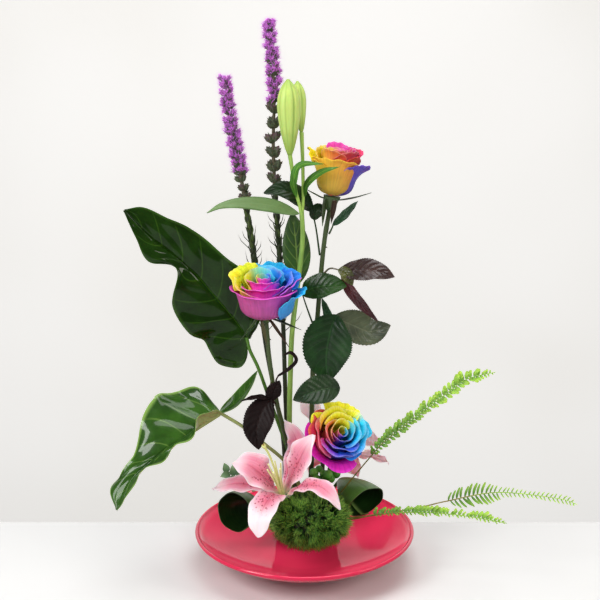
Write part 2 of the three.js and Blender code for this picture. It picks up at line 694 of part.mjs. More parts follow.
/** A heart-shaped blade on both sides of its midrib, with two rounded lobes behind the stalk. */
function heartBlade({ midrib, facing, facingEnd, sides }) {
  const curve = routeCurve(midrib);
  const total = curve.getLength();
  const edges = sides.map(({ edge }) => routeCurve(edge.map(([along, across]) => [along, across, 0])));
  const plate = flatPlate(4, ANTHURIUM_STEPS);
  return bend(plate, (vertex) => {
    const step = THREE.MathUtils.clamp(vertex.y + 0.5, 0, 1);
    const share = Math.abs(vertex.x);
    const half = vertex.x < 0 ? 0 : 1;
    const edge = edges[half].getPoint(step);
    const ahead = THREE.MathUtils.lerp(0.995 * total * step ** 2, edge.x, share);
    const across = share * Math.max(edge.y, LEAST_HALF_WIDTH);
    const along = THREE.MathUtils.clamp(ahead / total, 0, 1);
    const beyond = ahead - along * total;
    const tangent = curve.getTangentAt(along);
    const upper = vector(facing).lerp(vector(facingEnd), along);
    const side = upper.clone().cross(tangent).normalize();
    const normal = tangent.clone().cross(side);
    const settled = THREE.MathUtils.smoothstep(along, 0.1, 0.5);
    const [first, second] = sides.map(({ fold }) => THREE.MathUtils.lerp(...fold, settled));
    const angle = half === 0 ? first : second;
    const lean = share === 0 ? (first - second) / 2 : -Math.sign(vertex.x) * angle;
    return curve.getPointAt(along)
      .addScaledVector(tangent, beyond)
      .addScaledVector(side, -Math.sign(vertex.x) * across * Math.cos(angle))
      .addScaledVector(normal, across * Math.sin(angle))
      .addScaledVector(normal, LEAF_THICKNESS * vertex.z * Math.cos(lean))
      .addScaledVector(side, -LEAF_THICKNESS * vertex.z * Math.sin(lean));
  });
}

function anthuriumGeometry(leaf) {
  const lobes = leaf.lobe ? [blade(leaf.lobe)] : [];
  return join(tube(leaf.stalk, ANTHURIUM_STALK_RADIUS), heartBlade(leaf), ...lobes);
}

const ROLLED_LEAVES = {
  left_rolled_leaf: {
    stalk: [[-10, 10, 44], [-28, 14, 50], [-50, 18, 55]], mouth: [-69, -16, 59],
    mouthRadii: [19, 20], openAt: 0.6,
  },
  right_rolled_leaf: {
    stalk: [[24, 24, 40], [27, 23, 62], [36, 16, 80]], mouth: [64, -20, 72],
    mouthRadii: [18, 14], openAt: -2.4,
  },
};

/** The stalk's route, which ends inside the cone. */
function rolledStalk({ stalk, mouth }) {
  const start = vector(stalk.at(-1));
  const inside = vector(mouth).sub(start).setLength(5).add(start);
  return [...stalk, inside.toArray()];
}

/** A leaf rolled into a cone that opens towards its mouth, with a slit where its edges meet. */
function rolledLeafGeometry({ stalk, mouth, mouthRadii, openAt }) {
  const start = vector(stalk.at(-1));
  const axis = vector(mouth).sub(start);
  const along = axis.clone().normalize();
  const side = along.clone().cross(new THREE.Vector3(0, 0, 1)).normalize();
  const up = side.clone().cross(along);
  const plate = weld(new THREE.BoxGeometry(2, 1, 1, 14, 4, 1));
  const cone = bend(plate, (vertex) => {
    const share = vertex.y + 0.5;
    const turn = openAt + 2.85 * vertex.x;
    const growth = 0.12 + 0.88 * Math.sin(0.5 * Math.PI * share) ** 0.8;
    const shell = -LEAF_THICKNESS * vertex.z;
    return start.clone().addScaledVector(axis, share)
      .addScaledVector(side, (mouthRadii[0] * growth + shell) * Math.cos(turn))
      .addScaledVector(up, (mouthRadii[1] * growth + shell) * Math.sin(turn));
  });
  return join(tube(rolledStalk({ stalk, mouth }), 2, 12), cone);
}

// ---------------------------------------------------------------------------------------------
// Dianthus ball, berries, ferns, sprig and liatris
// ---------------------------------------------------------------------------------------------

const DIANTHUS = {
  centre: [5, -46, 66], radii: [41, 32, 31], stalk: [[9, 4, 38], [8, -8, 46], [6, -26, 58]],
};

const THROAT_ROOM = 8; // radius kept clear in the ball around the lily's throat

/** A bristly ball on a short stalk, with room cut for what nestles against it. */
function dianthusGeometry(cutters) {
  const ball = new THREE.SphereGeometry(1, 18, 12);
  bend(ball, (vertex) => {
    const bumps = Math.sin(9 * vertex.x) * Math.sin(11 * vertex.z + 7 * vertex.y);
    return vertex.multiplyScalar(1 + 0.03 * bumps);
  });
  ball.scale(...DIANTHUS.radii).translate(...DIANTHUS.centre);
  return cut(join(ball, tube(DIANTHUS.stalk, 2, 12, 6)), ...cutters);
}

const BERRIES = {
  stalk: [[12, 7, 30], [13, 2, 62], [17, -5, 84], [19, -7, 94]],
  places: [
    [19, -8, 97], [12, -10, 92], [26, -10, 92], [22, -3, 90], [14.4, -2.2, 99.4], [27.2, -6, 101],
    [17.6, -12.2, 88.3],
  ],
  radius: 4.7,
};

function berriesGeometry() {
  const fork = [18, -6, 88];
  const berries = BERRIES.places.map((place) => (
    new THREE.OctahedronGeometry(BERRIES.radius, 1).translate(...place)
  ));
  const twigs = BERRIES.places.map((place) => {
    const half = place.map((value, i) => (value + fork[i]) / 2);
    return tube([fork, half, place], 1, 30, 4);
  });
  return join(tube(BERRIES.stalk, 1.3, 20, 6), ...twigs, ...berries);
}

const FERNS = {
  fern_1: {
    route: [
      [22, 12, 36], [27, 4, 58], [38, -22, 86], [65, -26, 123], [79, -26, 139],
      [112, -26, 167], [134, -26, 185], [155, -26, 201], [182, -26, 208],
    ],
    bare: 0.38, halfWidth: 6.5, facing: [-0.2, -0.6, 0.8],
  },
  fern_2: {
    route: [
      [17, 8, 42], [30, 2, 50], [50, -24, 57], [106, -30, 69], [139, -30, 77], [188, -32, 87],
      [246, -40, 84], [263, -45, 80],
    ],
    bare: 0.53, halfWidth: 10, facing: [0, -0.9, 0.5],
  },
  fern_3: {
    route: [
      [16, 2, 36], [26, -8, 46], [49, -38, 62], [70, -45, 70], [97, -52, 75], [126, -58, 77],
      [154, -65, 77], [191, -72, 73],
    ],
    bare: 0.38, halfWidth: 6, facing: [0, -0.5, 0.9],
  },
};
const FERN_TEETH = 12; // pairs of leaflets along one frond

/** The route of the bare part of a frond. */
function fernStalk({ route, bare }) {
  const curve = routeCurve(route);
  return Array.from({ length: 9 }, (_, i) => curve.getPointAt(((bare + 0.02) * i) / 8).toArray());
}

/** A frond: a thin bare stalk, then a toothed blade along the rest of its route. */
function fernGeometry({ route, bare, halfWidth, facing }) {
  const curve = routeCurve(route);
  const columns = 2 * FERN_TEETH;
  const plate = weld(new THREE.BoxGeometry(2, 1, 1, 2, columns, 1));
  const frond = bend(plate, (vertex) => {
    const share = THREE.MathUtils.clamp(vertex.y + 0.5, 0, 1);
    const along = bare + (0.995 - bare) * share;
    const column = Math.round(share * columns);
    const tooth = column % 2 === 1 ? 1 : 0.3;
    const width = 0.8 + halfWidth * tooth * Math.sin(Math.PI * (0.32 + 0.67 * share)) ** 0.8;
    const tangent = curve.getTangentAt(along);
    const side = tangent.clone().cross(vector(facing)).normalize();
    const normal = side.clone().cross(tangent);
    const rib = 0.4 * (1 - Math.abs(vertex.x));
    return curve.getPointAt(along)
      .addScaledVector(tangent, 2 * tooth * Math.abs(vertex.x))
      .addScaledVector(side, width * vertex.x)
      .addScaledVector(normal, (LEAF_THICKNESS + rib) * vertex.z);
  });
  return join(tube(fernStalk({ route, bare }), 0.8, 16, 6), frond);
}

const SPRIG = {
  route: [[-17, 15, 36], [-25, 24, 58], [-40, 34, 66], [-59, 36, 69], [-81, 40, 79]], halfWidth: 6,
};

function sprigGeometry() {
  const { route, halfWidth } = SPRIG;
  const leaf = blade({ spine: route.slice(2), facing: [0, -0.9, 0.4], halfWidth, outline: 'lance' });
  return join(tube(route, 0.9, 16, 6), leaf);
}

const LIATRIS_SPIKES = {
  left_liatris_spike: {
    route: [[-57.2, 20, 364.6], [-62, 20, 396], [-70, 20, 440], [-75.5, 20, 482]], flowers: 0.22, tufts: 12,
  },
  right_liatris_spike: {
    route: [[-29, 30, 374.6], [-30, 30, 420], [-29, 30, 473], [-34, 30, 533]], flowers: 0.5, tufts: 14,
  },
};

/** A spike of stacked tufts: small tight buds low down, and open flowers above. */
function liatrisSpikeGeometry({ route, flowers, tufts }) {
  const profile = [[0, 0], [0, 2.2]];
  for (let i = 0; i < tufts; i += 1) {
    const share = (i + 0.5) / tufts;
    const open = THREE.MathUtils.smoothstep(share, flowers - 0.1, flowers + 0.15);
    const swell = 4.2 + 3 * open * (1 - 0.55 * share ** 4);
    profile.push([share, swell], [(i + 1) / tufts - 0.12 / tufts, 2.4 + 1.6 * open * (1 - share ** 6)]);
  }
  profile[profile.length - 1] = [1, 0];
  return turned(route, profile, 7);
}

// ---------------------------------------------------------------------------------------------
// The arrangement
// ---------------------------------------------------------------------------------------------

const arrangement = new THREE.Group();
const foamHoles = [];

function place(name, geometry, finishName) {
  const mesh = new THREE.Mesh(geometry, FINISHES[finishName]);
  mesh.name = name;
  arrangement.add(mesh);
}

/** Notes the hole that a stalk makes in the foam. */
function plant(route, radius, spacing, sides) {
  foamHoles.push(stemHole(route, radius, spacing, sides));
}

place('bowl', bowlGeometry(), 'glaze');
place('anchor_putty', puttyGeometry(), 'putty');
place('foam_anchor', anchorGeometry(), 'anchor');

for (const { route, radius, spacing } of Object.values(STEMS)) {
  plant(route, radius, spacing);
}

for (const [name, rose] of Object.entries(ROSES)) {
  const { bloom, base, axis, petals, sepals, finishes } = rose;
  const cup = vector(base).addScaledVector(unit(axis), -CALYX_HEIGHT).toArray();
  const spread = sepals.map((azimuth, i) => (
    { azimuth, reach: 0.62 + 0.08 * (i % 3), rise: 3 * (i % 2) - 4 }
  ));
  place(`${name}_stem`, tube(STEMS[name].route, STEMS[name].radius), 'roseStem');
  place(`${name}_calyx`, aim(calyxGeometry(bloom, spread), cup, axis), 'roseLeaf');
  place(`${name}_bloom`, aim(bloomGeometry(bloom), base, axis), finishes[0]);
  petals.forEach(({ azimuth, spread: halfTurn }, i) => {
    place(
      `${name}_outer_petal_${i + 1}`, aim(outerPetalGeometry(bloom, azimuth, halfTurn), base, axis),
      finishes[i + 1],
    );
  });
}
for (const [name, leaf] of Object.entries(ROSE_LEAVES)) {
  place(name, compoundLeaf(leaf), leaf.finish);
}

const { lily_buds: budStem, open_lily: openStem, back_lily: backStem } = STEMS;
place(
  'lily_bud_stem',
  join(tube(budStem.route, budStem.radius), ...PEDICELS.map((route) => tube(route, 1.7, 20, 6))),
  'lilyStem',
);
for (const [name, { route, radius }] of Object.entries(BUDS)) {
  place(
    name, turned(route, BUD_PROFILE.map(([along, share]) => [along, share * radius]), 12, 3, 0.07),
    'lilyBud',
  );
}
for (const [name, leaf] of Object.entries(LILY_LEAVES)) {
  place(name, blade(leaf), 'lilyLeaf');
}

place('open_lily_stem', join(tube(openStem.route, openStem.radius, 12), receptacle(OPEN_LILY)), 'lilyStem');
OPEN_LILY.tepals.forEach((_, i) => {
  place(`open_lily_tepal_${i + 1}`, tepalGeometry(OPEN_LILY, i, { columns: 8, rows: 4 }), 'lilyPetal');
});
place('open_lily_stamens', stamensGeometry(OPEN_LILY), 'lilyStyle');
place('open_lily_pistil', pistilGeometry(OPEN_LILY), 'lilyStyle');

const backTepals = BACK_LILY.tepals.map((_, i) => tepalGeometry(BACK_LILY, i, { columns: 6, rows: 2 }));
const backThroat = aim(
  lathe([[0, -7], [2, -7], [5, -1], [5, 3], [0, 3]], 12), BACK_LILY.throat, BACK_LILY.axis,
);
place('back_lily', join(tube(backStem.route, backStem.radius, 12), backThroat, ...backTepals), 'lilyPetal');

for (const [name, leaf] of Object.entries(ANTHURIUMS)) {
  place(name, anthuriumGeometry(leaf), 'anthurium');
  plant(leaf.stalk, ANTHURIUM_STALK_RADIUS);
}
for (const [name, leaf] of Object.entries(ROLLED_LEAVES)) {
  place(name, rolledLeafGeometry(leaf), 'rolledLeaf');
  plant(rolledStalk(leaf), 2, 12);
}

const lilyRoom = [0, 1].map((i) => tepalGeometry(OPEN_LILY, i, { columns: 8, rows: 4 }, 2 * GAP));
lilyRoom.push(tube(openStem.route, openStem.radius + GAP, openStem.spacing), receptacle(OPEN_LILY, 2 * GAP));
lilyRoom.push(new THREE.SphereGeometry(THROAT_ROOM, 10, 6).translate(...OPEN_LILY.throat));
place('dianthus_ball', dianthusGeometry(lilyRoom), 'dianthus');
plant(DIANTHUS.stalk, 2, 12, 6);

place('berries', berriesGeometry(), 'berry');
plant(BERRIES.stalk, 1.3, 20, 6);
for (const [name, fern] of Object.entries(FERNS)) {
  place(name, fernGeometry(fern), 'fern');
  plant(fernStalk(fern), 0.8, 16, 6);
}
place('sprig', sprigGeometry(), 'fern');
plant(SPRIG.route, 0.9, 16, 6);

for (const side of ['left_liatris', 'right_liatris']) {
  place(`${side}_stem`, tube(STEMS[side].route, STEMS[side].radius), 'liatrisStem');
  place(`${side}_spike`, liatrisSpikeGeometry(LIATRIS_SPIKES[`${side}_spike`]), 'liatris');
}

place('floral_foam', foamGeometry(foamHoles), 'foam');

export default arrangement;
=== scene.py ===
"""The finished looks of a one-sided flower arrangement in a shallow glazed bowl.

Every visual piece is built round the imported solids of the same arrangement, in the same frame.
Plants are described in millimetres by the routes, spines and sizes of their solids, and the
meshes are made in metres.
"""

import logging
import math
from collections.abc import Callable, Sequence
from dataclasses import dataclass
from enum import Enum, StrEnum, auto
from typing import Any

import bpy
import numpy as np
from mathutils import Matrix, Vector
from mathutils.bvhtree import BVHTree


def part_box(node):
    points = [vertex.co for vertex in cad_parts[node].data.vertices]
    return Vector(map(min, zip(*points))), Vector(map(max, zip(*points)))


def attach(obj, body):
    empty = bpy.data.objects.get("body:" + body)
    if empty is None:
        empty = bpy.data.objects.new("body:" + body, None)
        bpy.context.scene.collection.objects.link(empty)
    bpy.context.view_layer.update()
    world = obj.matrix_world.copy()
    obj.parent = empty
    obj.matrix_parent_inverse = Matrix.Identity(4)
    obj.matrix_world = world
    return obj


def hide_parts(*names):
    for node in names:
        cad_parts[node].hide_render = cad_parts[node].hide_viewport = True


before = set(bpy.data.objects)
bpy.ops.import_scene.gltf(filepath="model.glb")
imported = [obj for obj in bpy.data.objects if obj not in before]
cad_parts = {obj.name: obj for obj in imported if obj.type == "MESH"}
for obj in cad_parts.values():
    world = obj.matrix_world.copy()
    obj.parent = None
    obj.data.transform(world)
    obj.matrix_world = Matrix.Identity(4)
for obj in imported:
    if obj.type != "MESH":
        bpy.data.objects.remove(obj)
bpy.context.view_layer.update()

Array = np.ndarray
Point = Sequence[float]
Route = Sequence[Point]

MM = 0.001  # metres in a millimetre
WHITE = (1.0, 1.0, 1.0)
GOLDEN_TURN = math.pi * (3 - math.sqrt(5))
FRONT = -math.pi / 2  # azimuth that looks at the front of the arrangement
SHARP_ANGLE = math.radians(55)  # edges sharper than this stay crisp

log = logging.getLogger("arrangement")


# ---------- Numbers, colours and curves ----------


def vector(values: Any) -> Array:
    """Gives numbers as an array."""
    return np.asarray(values, float)


def unit(vectors: Array) -> Array:
    """Scales vectors to a length of one."""
    vectors = vector(vectors)
    return vectors / np.maximum(np.linalg.norm(vectors, axis=-1, keepdims=True), 1e-9)


def polar(azimuth: Any, radius: Any = 1.0, height: Any = 0.0) -> Array:
    """Gives the points at azimuths round the Z axis, with their radii and heights."""
    return np.stack(np.broadcast_arrays(radius * np.cos(azimuth), radius * np.sin(azimuth), height), axis=-1)


def turns(count: int) -> Array:
    """Gives azimuths that divide a full turn evenly."""
    return np.linspace(0, 2 * np.pi, count, endpoint=False)


def grid(rows: int, columns: int, first: float = 1.0) -> tuple[Array, Array]:
    """Gives how far each point of a grid lies along it, and across it from its first edge."""
    along, across = np.meshgrid(np.linspace(0, 1, rows), np.linspace(first, -first, columns), indexing="ij")
    return along, across


def spread(tint: Any, count: int) -> Array:
    """Gives each of so many points its colour, where tint is one for all or one for each."""
    return np.broadcast_to(vector(tint).reshape(-1, 3), (count, 3))


def smooth(low: float, high: float, values: Array) -> Array:
    """Rises smoothly from 0 at low to 1 at high."""
    share = np.clip((vector(values) - low) / (high - low), 0, 1)
    return share * share * (3 - 2 * share)


def rgb(code: str) -> Array:
    """Turns a colour written as six hexadecimal digits into linear red, green and blue."""
    values = np.array([int(code[i : i + 2], 16) / 255 for i in (0, 2, 4)])
    return np.where(values <= 0.04045, values / 12.92, ((values + 0.055) / 1.055) ** 2.4)


def rgba(code: str) -> tuple[float, float, float, float]:
    """Turns a colour written as six hexadecimal digits into what a colour socket takes."""
    red, green, blue = rgb(code)
    return float(red), float(green), float(blue), 1.0


def node_box(name: str) -> tuple[Array, Array]:
    """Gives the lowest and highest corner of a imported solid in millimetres."""
    low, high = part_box(name)
    return np.array(low) / MM, np.array(high) / MM


def turn_to(axis: Point) -> Array:
    """Gives the matrix of the smallest rotation that turns +Z to an axis."""
    turn = Vector((0, 0, 1)).rotation_difference(Vector(unit(axis)))
    return np.array(turn.to_matrix())


class Spine:
    """A smooth centre line through its points, read by the share of its length."""

    STEPS = 48  # straight steps that each span is measured in

    def __init__(self, points: Route) -> None:
        """Measures the line.

        Args:
            points: points that it passes, in millimetres.
        """
        knots = vector(points)
        ends = np.vstack([2 * knots[0] - knots[1], knots, 2 * knots[-1] - knots[-2]])
        place = np.linspace(0, len(knots) - 1, self.STEPS * (len(knots) - 1) + 1)
        span = np.minimum(place.astype(int), len(knots) - 2)
        t = (place - span)[:, None]
        before, start, end, after = (ends[span + k] for k in range(4))
        leave, arrive = 0.5 * (end - before), 0.5 * (after - start)
        self.path = (
            (2 * t**3 - 3 * t**2 + 1) * start + (t**3 - 2 * t**2 + t) * leave + (3 * t**2 - 2 * t**3) * end
            + (t**3 - t**2) * arrive
        )
        self.place = place / (len(knots) - 1)
        steps = np.linalg.norm(np.diff(self.path, axis=0), axis=1)
        travelled = np.concatenate([[0], np.cumsum(steps)])
        self.length = float(travelled[-1])
        self.share = travelled / self.length
        self.heading = unit(np.gradient(self.path, self.share, axis=0))

    def at(self, share: Array) -> Array:
        """Gives the points at shares of the length."""
        return self._read(self.share, self.path, share)

    def knot(self, place: Array) -> Array:
        """Gives the points at places that count the spans evenly, from 0 to 1."""
        return self._read(self.place, self.path, place)

    def tangent(self, share: Array) -> Array:
        """Gives the directions at shares of the length."""
        return unit(self._read(self.share, self.heading, share))

    @staticmethod
    def _read(known: Array, values: Array, share: Array) -> Array:
        """Reads values between the known shares."""
        return np.stack([np.interp(share, known, values[:, k]) for k in range(3)], axis=-1)


# ---------- Meshes ----------


@dataclass
class Sheet:
    """A curved grid of points, with where each lies along and across its leaf or petal."""

    points: Array
    along: Array
    across: Array

    def normals(self) -> Array:
        """Gives the directions that the upper side looks in."""
        return unit(np.cross(np.gradient(self.points, axis=0), np.gradient(self.points, axis=1)))

    def lift(self, height: Array) -> "Sheet":
        """Moves the points along their normals by heights, and gives the same sheet."""
        self.points = self.points + self.normals() * np.asarray(height)[..., None]
        return self


class Draft:
    """The vertices, faces and painted values of a mesh while it is being made."""

    VALUES = ("along", "across", "side", "tone")

    def __init__(self) -> None:
        """Starts an empty mesh."""
        self.points: list[Array] = []
        self.faces: list[Array] = []
        self.values: dict[str, list[Array]] = {name: [] for name in (*self.VALUES, "tint")}
        self.count = 0

    def add(self, points: Array, faces: Sequence[Array], **values: Any) -> None:
        """Adds vertices and faces.

        Args:
            points: vertices, in millimetres.
            faces: arrays of faces with 3 or 4 corners, counted from the first new vertex.
            **values: painted values, one number for all vertices or one for each.
        """
        points = vector(points).reshape(-1, 3)
        self.points.append(points)
        self.faces.extend(np.asarray(group) + self.count for group in faces)
        for name in self.VALUES:
            value = vector(values.get(name, 0.0)).reshape(-1)
            self.values[name].append(np.broadcast_to(value, (len(points),)))
        self.values["tint"].append(spread(values.get("tint", WHITE), len(points)))
        self.count += len(points)

    def plate(self, sheet: Sheet, thickness: float | Array, tone: float = 0.0, tint: Any = WHITE) -> None:
        """Adds a thin closed plate on both sides of a sheet.

        Args:
            sheet: its middle surface.
            thickness: its thickness, in millimetres.
            tone: its painted tone.
            tint: a colour, or one for each point of the sheet.
        """
        rows, columns = sheet.along.shape
        half = sheet.normals() * (np.asarray(thickness) * np.ones((rows, columns)) / 2)[..., None]
        index = np.arange(rows * columns).reshape(rows, columns)
        corners = (index[:-1, :-1], index[1:, :-1], index[1:, 1:], index[:-1, 1:])
        upper = np.stack([corner.reshape(-1) for corner in corners], axis=1)
        lower = upper[:, ::-1] + rows * columns
        rim = np.concatenate([index[:, 0], index[-1, 1:], index[-2::-1, -1], index[0, -2:0:-1]])
        following = np.roll(rim, -1)
        wall = np.stack([following, rim, rim + rows * columns, following + rows * columns], axis=1)
        self.add(
            np.concatenate([(sheet.points + half).reshape(-1, 3), (sheet.points - half).reshape(-1, 3)]),
            [upper, lower, wall], along=np.tile(sheet.along.reshape(-1), 2),
            across=np.tile(sheet.across.reshape(-1), 2), side=np.repeat([1.0, 0.0], rows * columns),
            tone=tone, tint=np.tile(spread(tint, rows * columns), (2, 1))
        )

    def skin(self, rings: Array, along: Array, tone: float = 0.0, tint: Any = WHITE) -> None:
        """Adds a closed skin over rings of points, with a cap at both ends.

        Args:
            rings: points of every ring, as rings by sides by 3.
            along: one painted value for each ring.
            tone: its painted tone.
            tint: a colour, or one for each ring.
        """
        count, sides, _ = rings.shape
        index = np.arange(count * sides).reshape(count, sides)
        beside = np.roll(index, -1, axis=1)
        walls = np.stack([index[:-1], beside[:-1], beside[1:], index[1:]], axis=-1).reshape(-1, 4)
        first, last = count * sides, count * sides + 1
        start = np.stack([np.full(sides, first), beside[0], index[0]], axis=1)
        end = np.stack([np.full(sides, last), index[-1], beside[-1]], axis=1)
        around = np.abs(np.linspace(-1, 1, sides, endpoint=False))
        tints = spread(tint, count)
        self.add(
            np.concatenate([rings.reshape(-1, 3), rings[:1].mean(axis=1), rings[-1:].mean(axis=1)]),
            [walls, start, end],
            along=np.concatenate([np.repeat(along, sides), [along[0], along[-1]]]),
            across=np.concatenate([np.tile(around, count), [0, 0]]), tone=tone,
            tint=np.concatenate([np.repeat(tints, sides, axis=0), tints[:1], tints[-1:]])
        )

    def tube(
        self, spine: Spine, radius: float | Callable[[Array], Array], sides: int = 14, step: float = 4.0,
        tone: float = 0.0, tint: Any = WHITE, lobes: Callable[[Array, Array], Array] | None = None
    ) -> None:
        """Adds a round stem along a spine.

        Args:
            spine: the centre line.
            radius: one radius, or what gives it for shares of the length.
            sides: flats around the stem.
            step: length of one ring, in millimetres.
            tone: its painted tone.
            tint: a colour, or what gives one for each share of the length.
            lobes: gives a swell of the radius for shares of the length and turns around it.
        """
        share = np.linspace(0, 1, max(3, round(spine.length / step) + 1))
        width = radius(share) if callable(radius) else np.full(len(share), float(radius))
        across, depth = self._frames(spine.tangent(share))
        turn = turns(sides)
        swell = np.ones((len(share), sides)) if lobes is None else lobes(share[:, None], turn[None, :])
        reach = (width[:, None] * swell)[..., None]
        circle = np.cos(turn)[:, None] * across[:, None] + np.sin(turn)[:, None] * depth[:, None]
        rings = spine.at(share)[:, None] + reach * circle
        self.skin(rings, share, tone, tint(share) if callable(tint) else tint)

    def lathe(
        self, profile: Route, sides: int, centre: Point = (0, 0, 0), turn: Array | None = None,
        tone: float = 0.0, swell: Callable[[Array, Array], Array] | None = None,
    ) -> None:
        """Turns a profile about an axis.

        Args:
            profile: pairs of radius and height, from the foot of the axis to its top.
            sides: flats around the axis.
            centre: foot of the axis, in millimetres.
            turn: rotation of the axis away from +Z.
            tone: its painted tone.
            swell: gives a factor on the radius for azimuths and heights.
        """
        radius, height = vector(profile)[:, :1], vector(profile)[:, 1:]
        azimuth = turns(sides)
        if swell is not None:
            radius = radius * swell(azimuth[None, :], height)
        rings = polar(azimuth, radius, height)
        if turn is not None:
            rings = rings @ turn.T
        self.skin(rings + vector(centre), np.linspace(0, 1, len(profile)), tone)

    def needles(
        self, roots: Array, tips: Array, radius: Any, bow: Array, tone: Any, tint: Any = WHITE
    ) -> None:
        """Adds many thin three-sided needles.

        Args:
            roots: foot of each needle.
            tips: tip of each needle.
            radius: radius at the foot, one for all or one for each.
            bow: how far the middle of each is pushed aside.
            tone: painted tone, one for all or one for each.
            tint: a colour, or one for each needle.
        """
        count = len(roots)
        axis = unit(tips - roots)
        helper = np.where(np.abs(axis[:, 2:]) < 0.9, [[0.0, 0.0, 1.0]], [[1.0, 0.0, 0.0]])
        side = unit(np.cross(axis, helper))
        up = np.cross(axis, side)
        shares, widths = np.array([0.0, 0.55]), np.array([1.0, 0.8])
        turn = 2 * np.pi * np.arange(3) / 3
        radius = (np.asarray(radius) * np.ones(count)).reshape(-1, 1)
        middle = roots[:, None] + (tips - roots)[:, None] * shares[None, :, None]
        middle = middle + bow[:, None] * (4 * shares * (1 - shares))[None, :, None]
        reach = (radius * widths)[:, :, None, None]
        ring = np.cos(turn)[:, None] * side[:, None, None] + np.sin(turn)[:, None] * up[:, None, None]
        body = (middle[:, :, None] + reach * ring).reshape(count, 6, 3)
        first = 7 * np.arange(count)[:, None]
        quads = [first + np.array([[i, (i + 1) % 3, 3 + (i + 1) % 3, 3 + i]]) for i in range(3)]
        triangles = [first + np.array([[3 + i, 3 + (i + 1) % 3, 6]]) for i in range(3)]
        self.add(
            np.concatenate([body, tips[:, None]], axis=1),
            [*quads, *triangles, first + np.array([[0, 2, 1]])],
            along=np.tile([0, 0, 0, 0.55, 0.55, 0.55, 1.0], count),
            tone=np.repeat(np.asarray(tone) * np.ones(count), 7),
            tint=np.repeat(spread(tint, count), 7, axis=0),
        )

    def build(self, name: str, crisp: bool = True) -> bpy.types.Object:
        """Makes the object, in metres.

        Args:
            name: its name.
            crisp: whether its sharp edges stay crisp.

        Returns:
            The new object.
        """
        mesh = bpy.data.meshes.new(name)
        faces = [face for group in self.faces for face in group.tolist()]
        mesh.from_pydata(np.concatenate(self.points) * MM, [], faces)
        for value in self.VALUES:
            layer = mesh.attributes.new(value, "FLOAT", "POINT")
            layer.data.foreach_set("value", np.concatenate(self.values[value]).astype(np.float32))
        tint = np.concatenate(self.values["tint"])
        colours = mesh.attributes.new("tint", "FLOAT_COLOR", "POINT")
        packed = np.concatenate([tint, np.ones((len(tint), 1))], axis=1).astype(np.float32)
        colours.data.foreach_set("color", packed.reshape(-1))
        mesh.shade_smooth()
        if crisp:
            mesh.set_sharp_from_angle(angle=SHARP_ANGLE)
        mesh.update()
        piece = bpy.data.objects.new(name, mesh)
        bpy.context.scene.collection.objects.link(piece)
        return piece

    @staticmethod
    def _frames(tangents: Array) -> tuple[Array, Array]:
        """Gives two directions across every tangent, without a twist between them.

        Args:
            tangents: the directions along a line.

        Returns:
            Both directions, for each tangent.
        """
        start = np.cross(tangents[0], [0.0, 1.0, 0.0])
        if np.linalg.norm(start) < 0.1:
            start = np.cross(tangents[0], [1.0, 0.0, 0.0])
        across = [unit(start)]
        for tangent in tangents[1:]:
            last = across[-1]
            across.append(unit(last - tangent * np.dot(last, tangent)))
        across = np.array(across)
        return across, np.cross(tangents, across)


# ---------- Materials ----------


def _math(operation: str, swapped: bool = False) -> Callable[..., "Field"]:
    """Gives a method that adds a Math node.

    Args:
        operation: what the node works out.
        swapped: whether the field comes last instead of first.

    Returns:
        The method.
    """

    def method(field: "Field", *others: Any) -> "Field":
        """Adds the node and gives its value."""
        values = (*others, field) if swapped else (field, *others)
        return field.nodes.node("Math", {"operation": operation}, dict(enumerate(values)))

    return method


class Field:
    """A value that a node gives; its operators add Math nodes."""

    __add__ = __radd__ = _math("ADD")
    __sub__ = _math("SUBTRACT")
    __rsub__ = _math("SUBTRACT", swapped=True)
    __mul__ = __rmul__ = _math("MULTIPLY")
    __pow__ = _math("POWER")
    __abs__ = _math("ABSOLUTE")
    part = _math("FRACT")  # what is behind the decimal point
    most = _math("MAXIMUM")  # the greater of two values

    def __init__(self, nodes: "Nodes", socket: bpy.types.NodeSocket) -> None:
        """Keeps the socket and the nodes that it belongs to."""
        self.nodes = nodes
        self.socket = socket

    def smooth(self, low: float, high: float) -> "Field":
        """Rises smoothly from 0 at low to 1 at high."""
        settings = {"interpolation_type": "SMOOTHSTEP"}
        return self.nodes.node("MapRange", settings, {"Value": self, 1: low, 2: high})


class Nodes:
    """The nodes of one tree."""

    def __init__(self, tree: bpy.types.NodeTree) -> None:
        """Keeps the tree."""
        self.tree = tree

    def node(
        self, kind: str, settings: dict[str, Any] | None = None, inputs: dict[str | int, Any] | None = None,
        output: str | int = 0
    ) -> Field:
        """Adds a node.

        Args:
            kind: type of the node, without its prefix.
            settings: its properties, which are set first.
            inputs: values or links of its sockets.
            output: the socket that is read.

        Returns:
            The value of that socket.
        """
        made = self.tree.nodes.new(f"ShaderNode{kind}")
        for key, value in (settings or {}).items():
            setattr(made, key, value)
        for key, value in (inputs or {}).items():
            self.feed(made.inputs[key], value)
        return Field(self, made.outputs[output])

    def feed(self, socket: bpy.types.NodeSocket, value: Any) -> None:
        """Links a field to a socket, or sets the socket's own value.

        Args:
            socket: the socket.
            value: a field, or a value.
        """
        if isinstance(value, Field):
            self.tree.links.new(value.socket, socket)
        else:
            socket.default_value = value


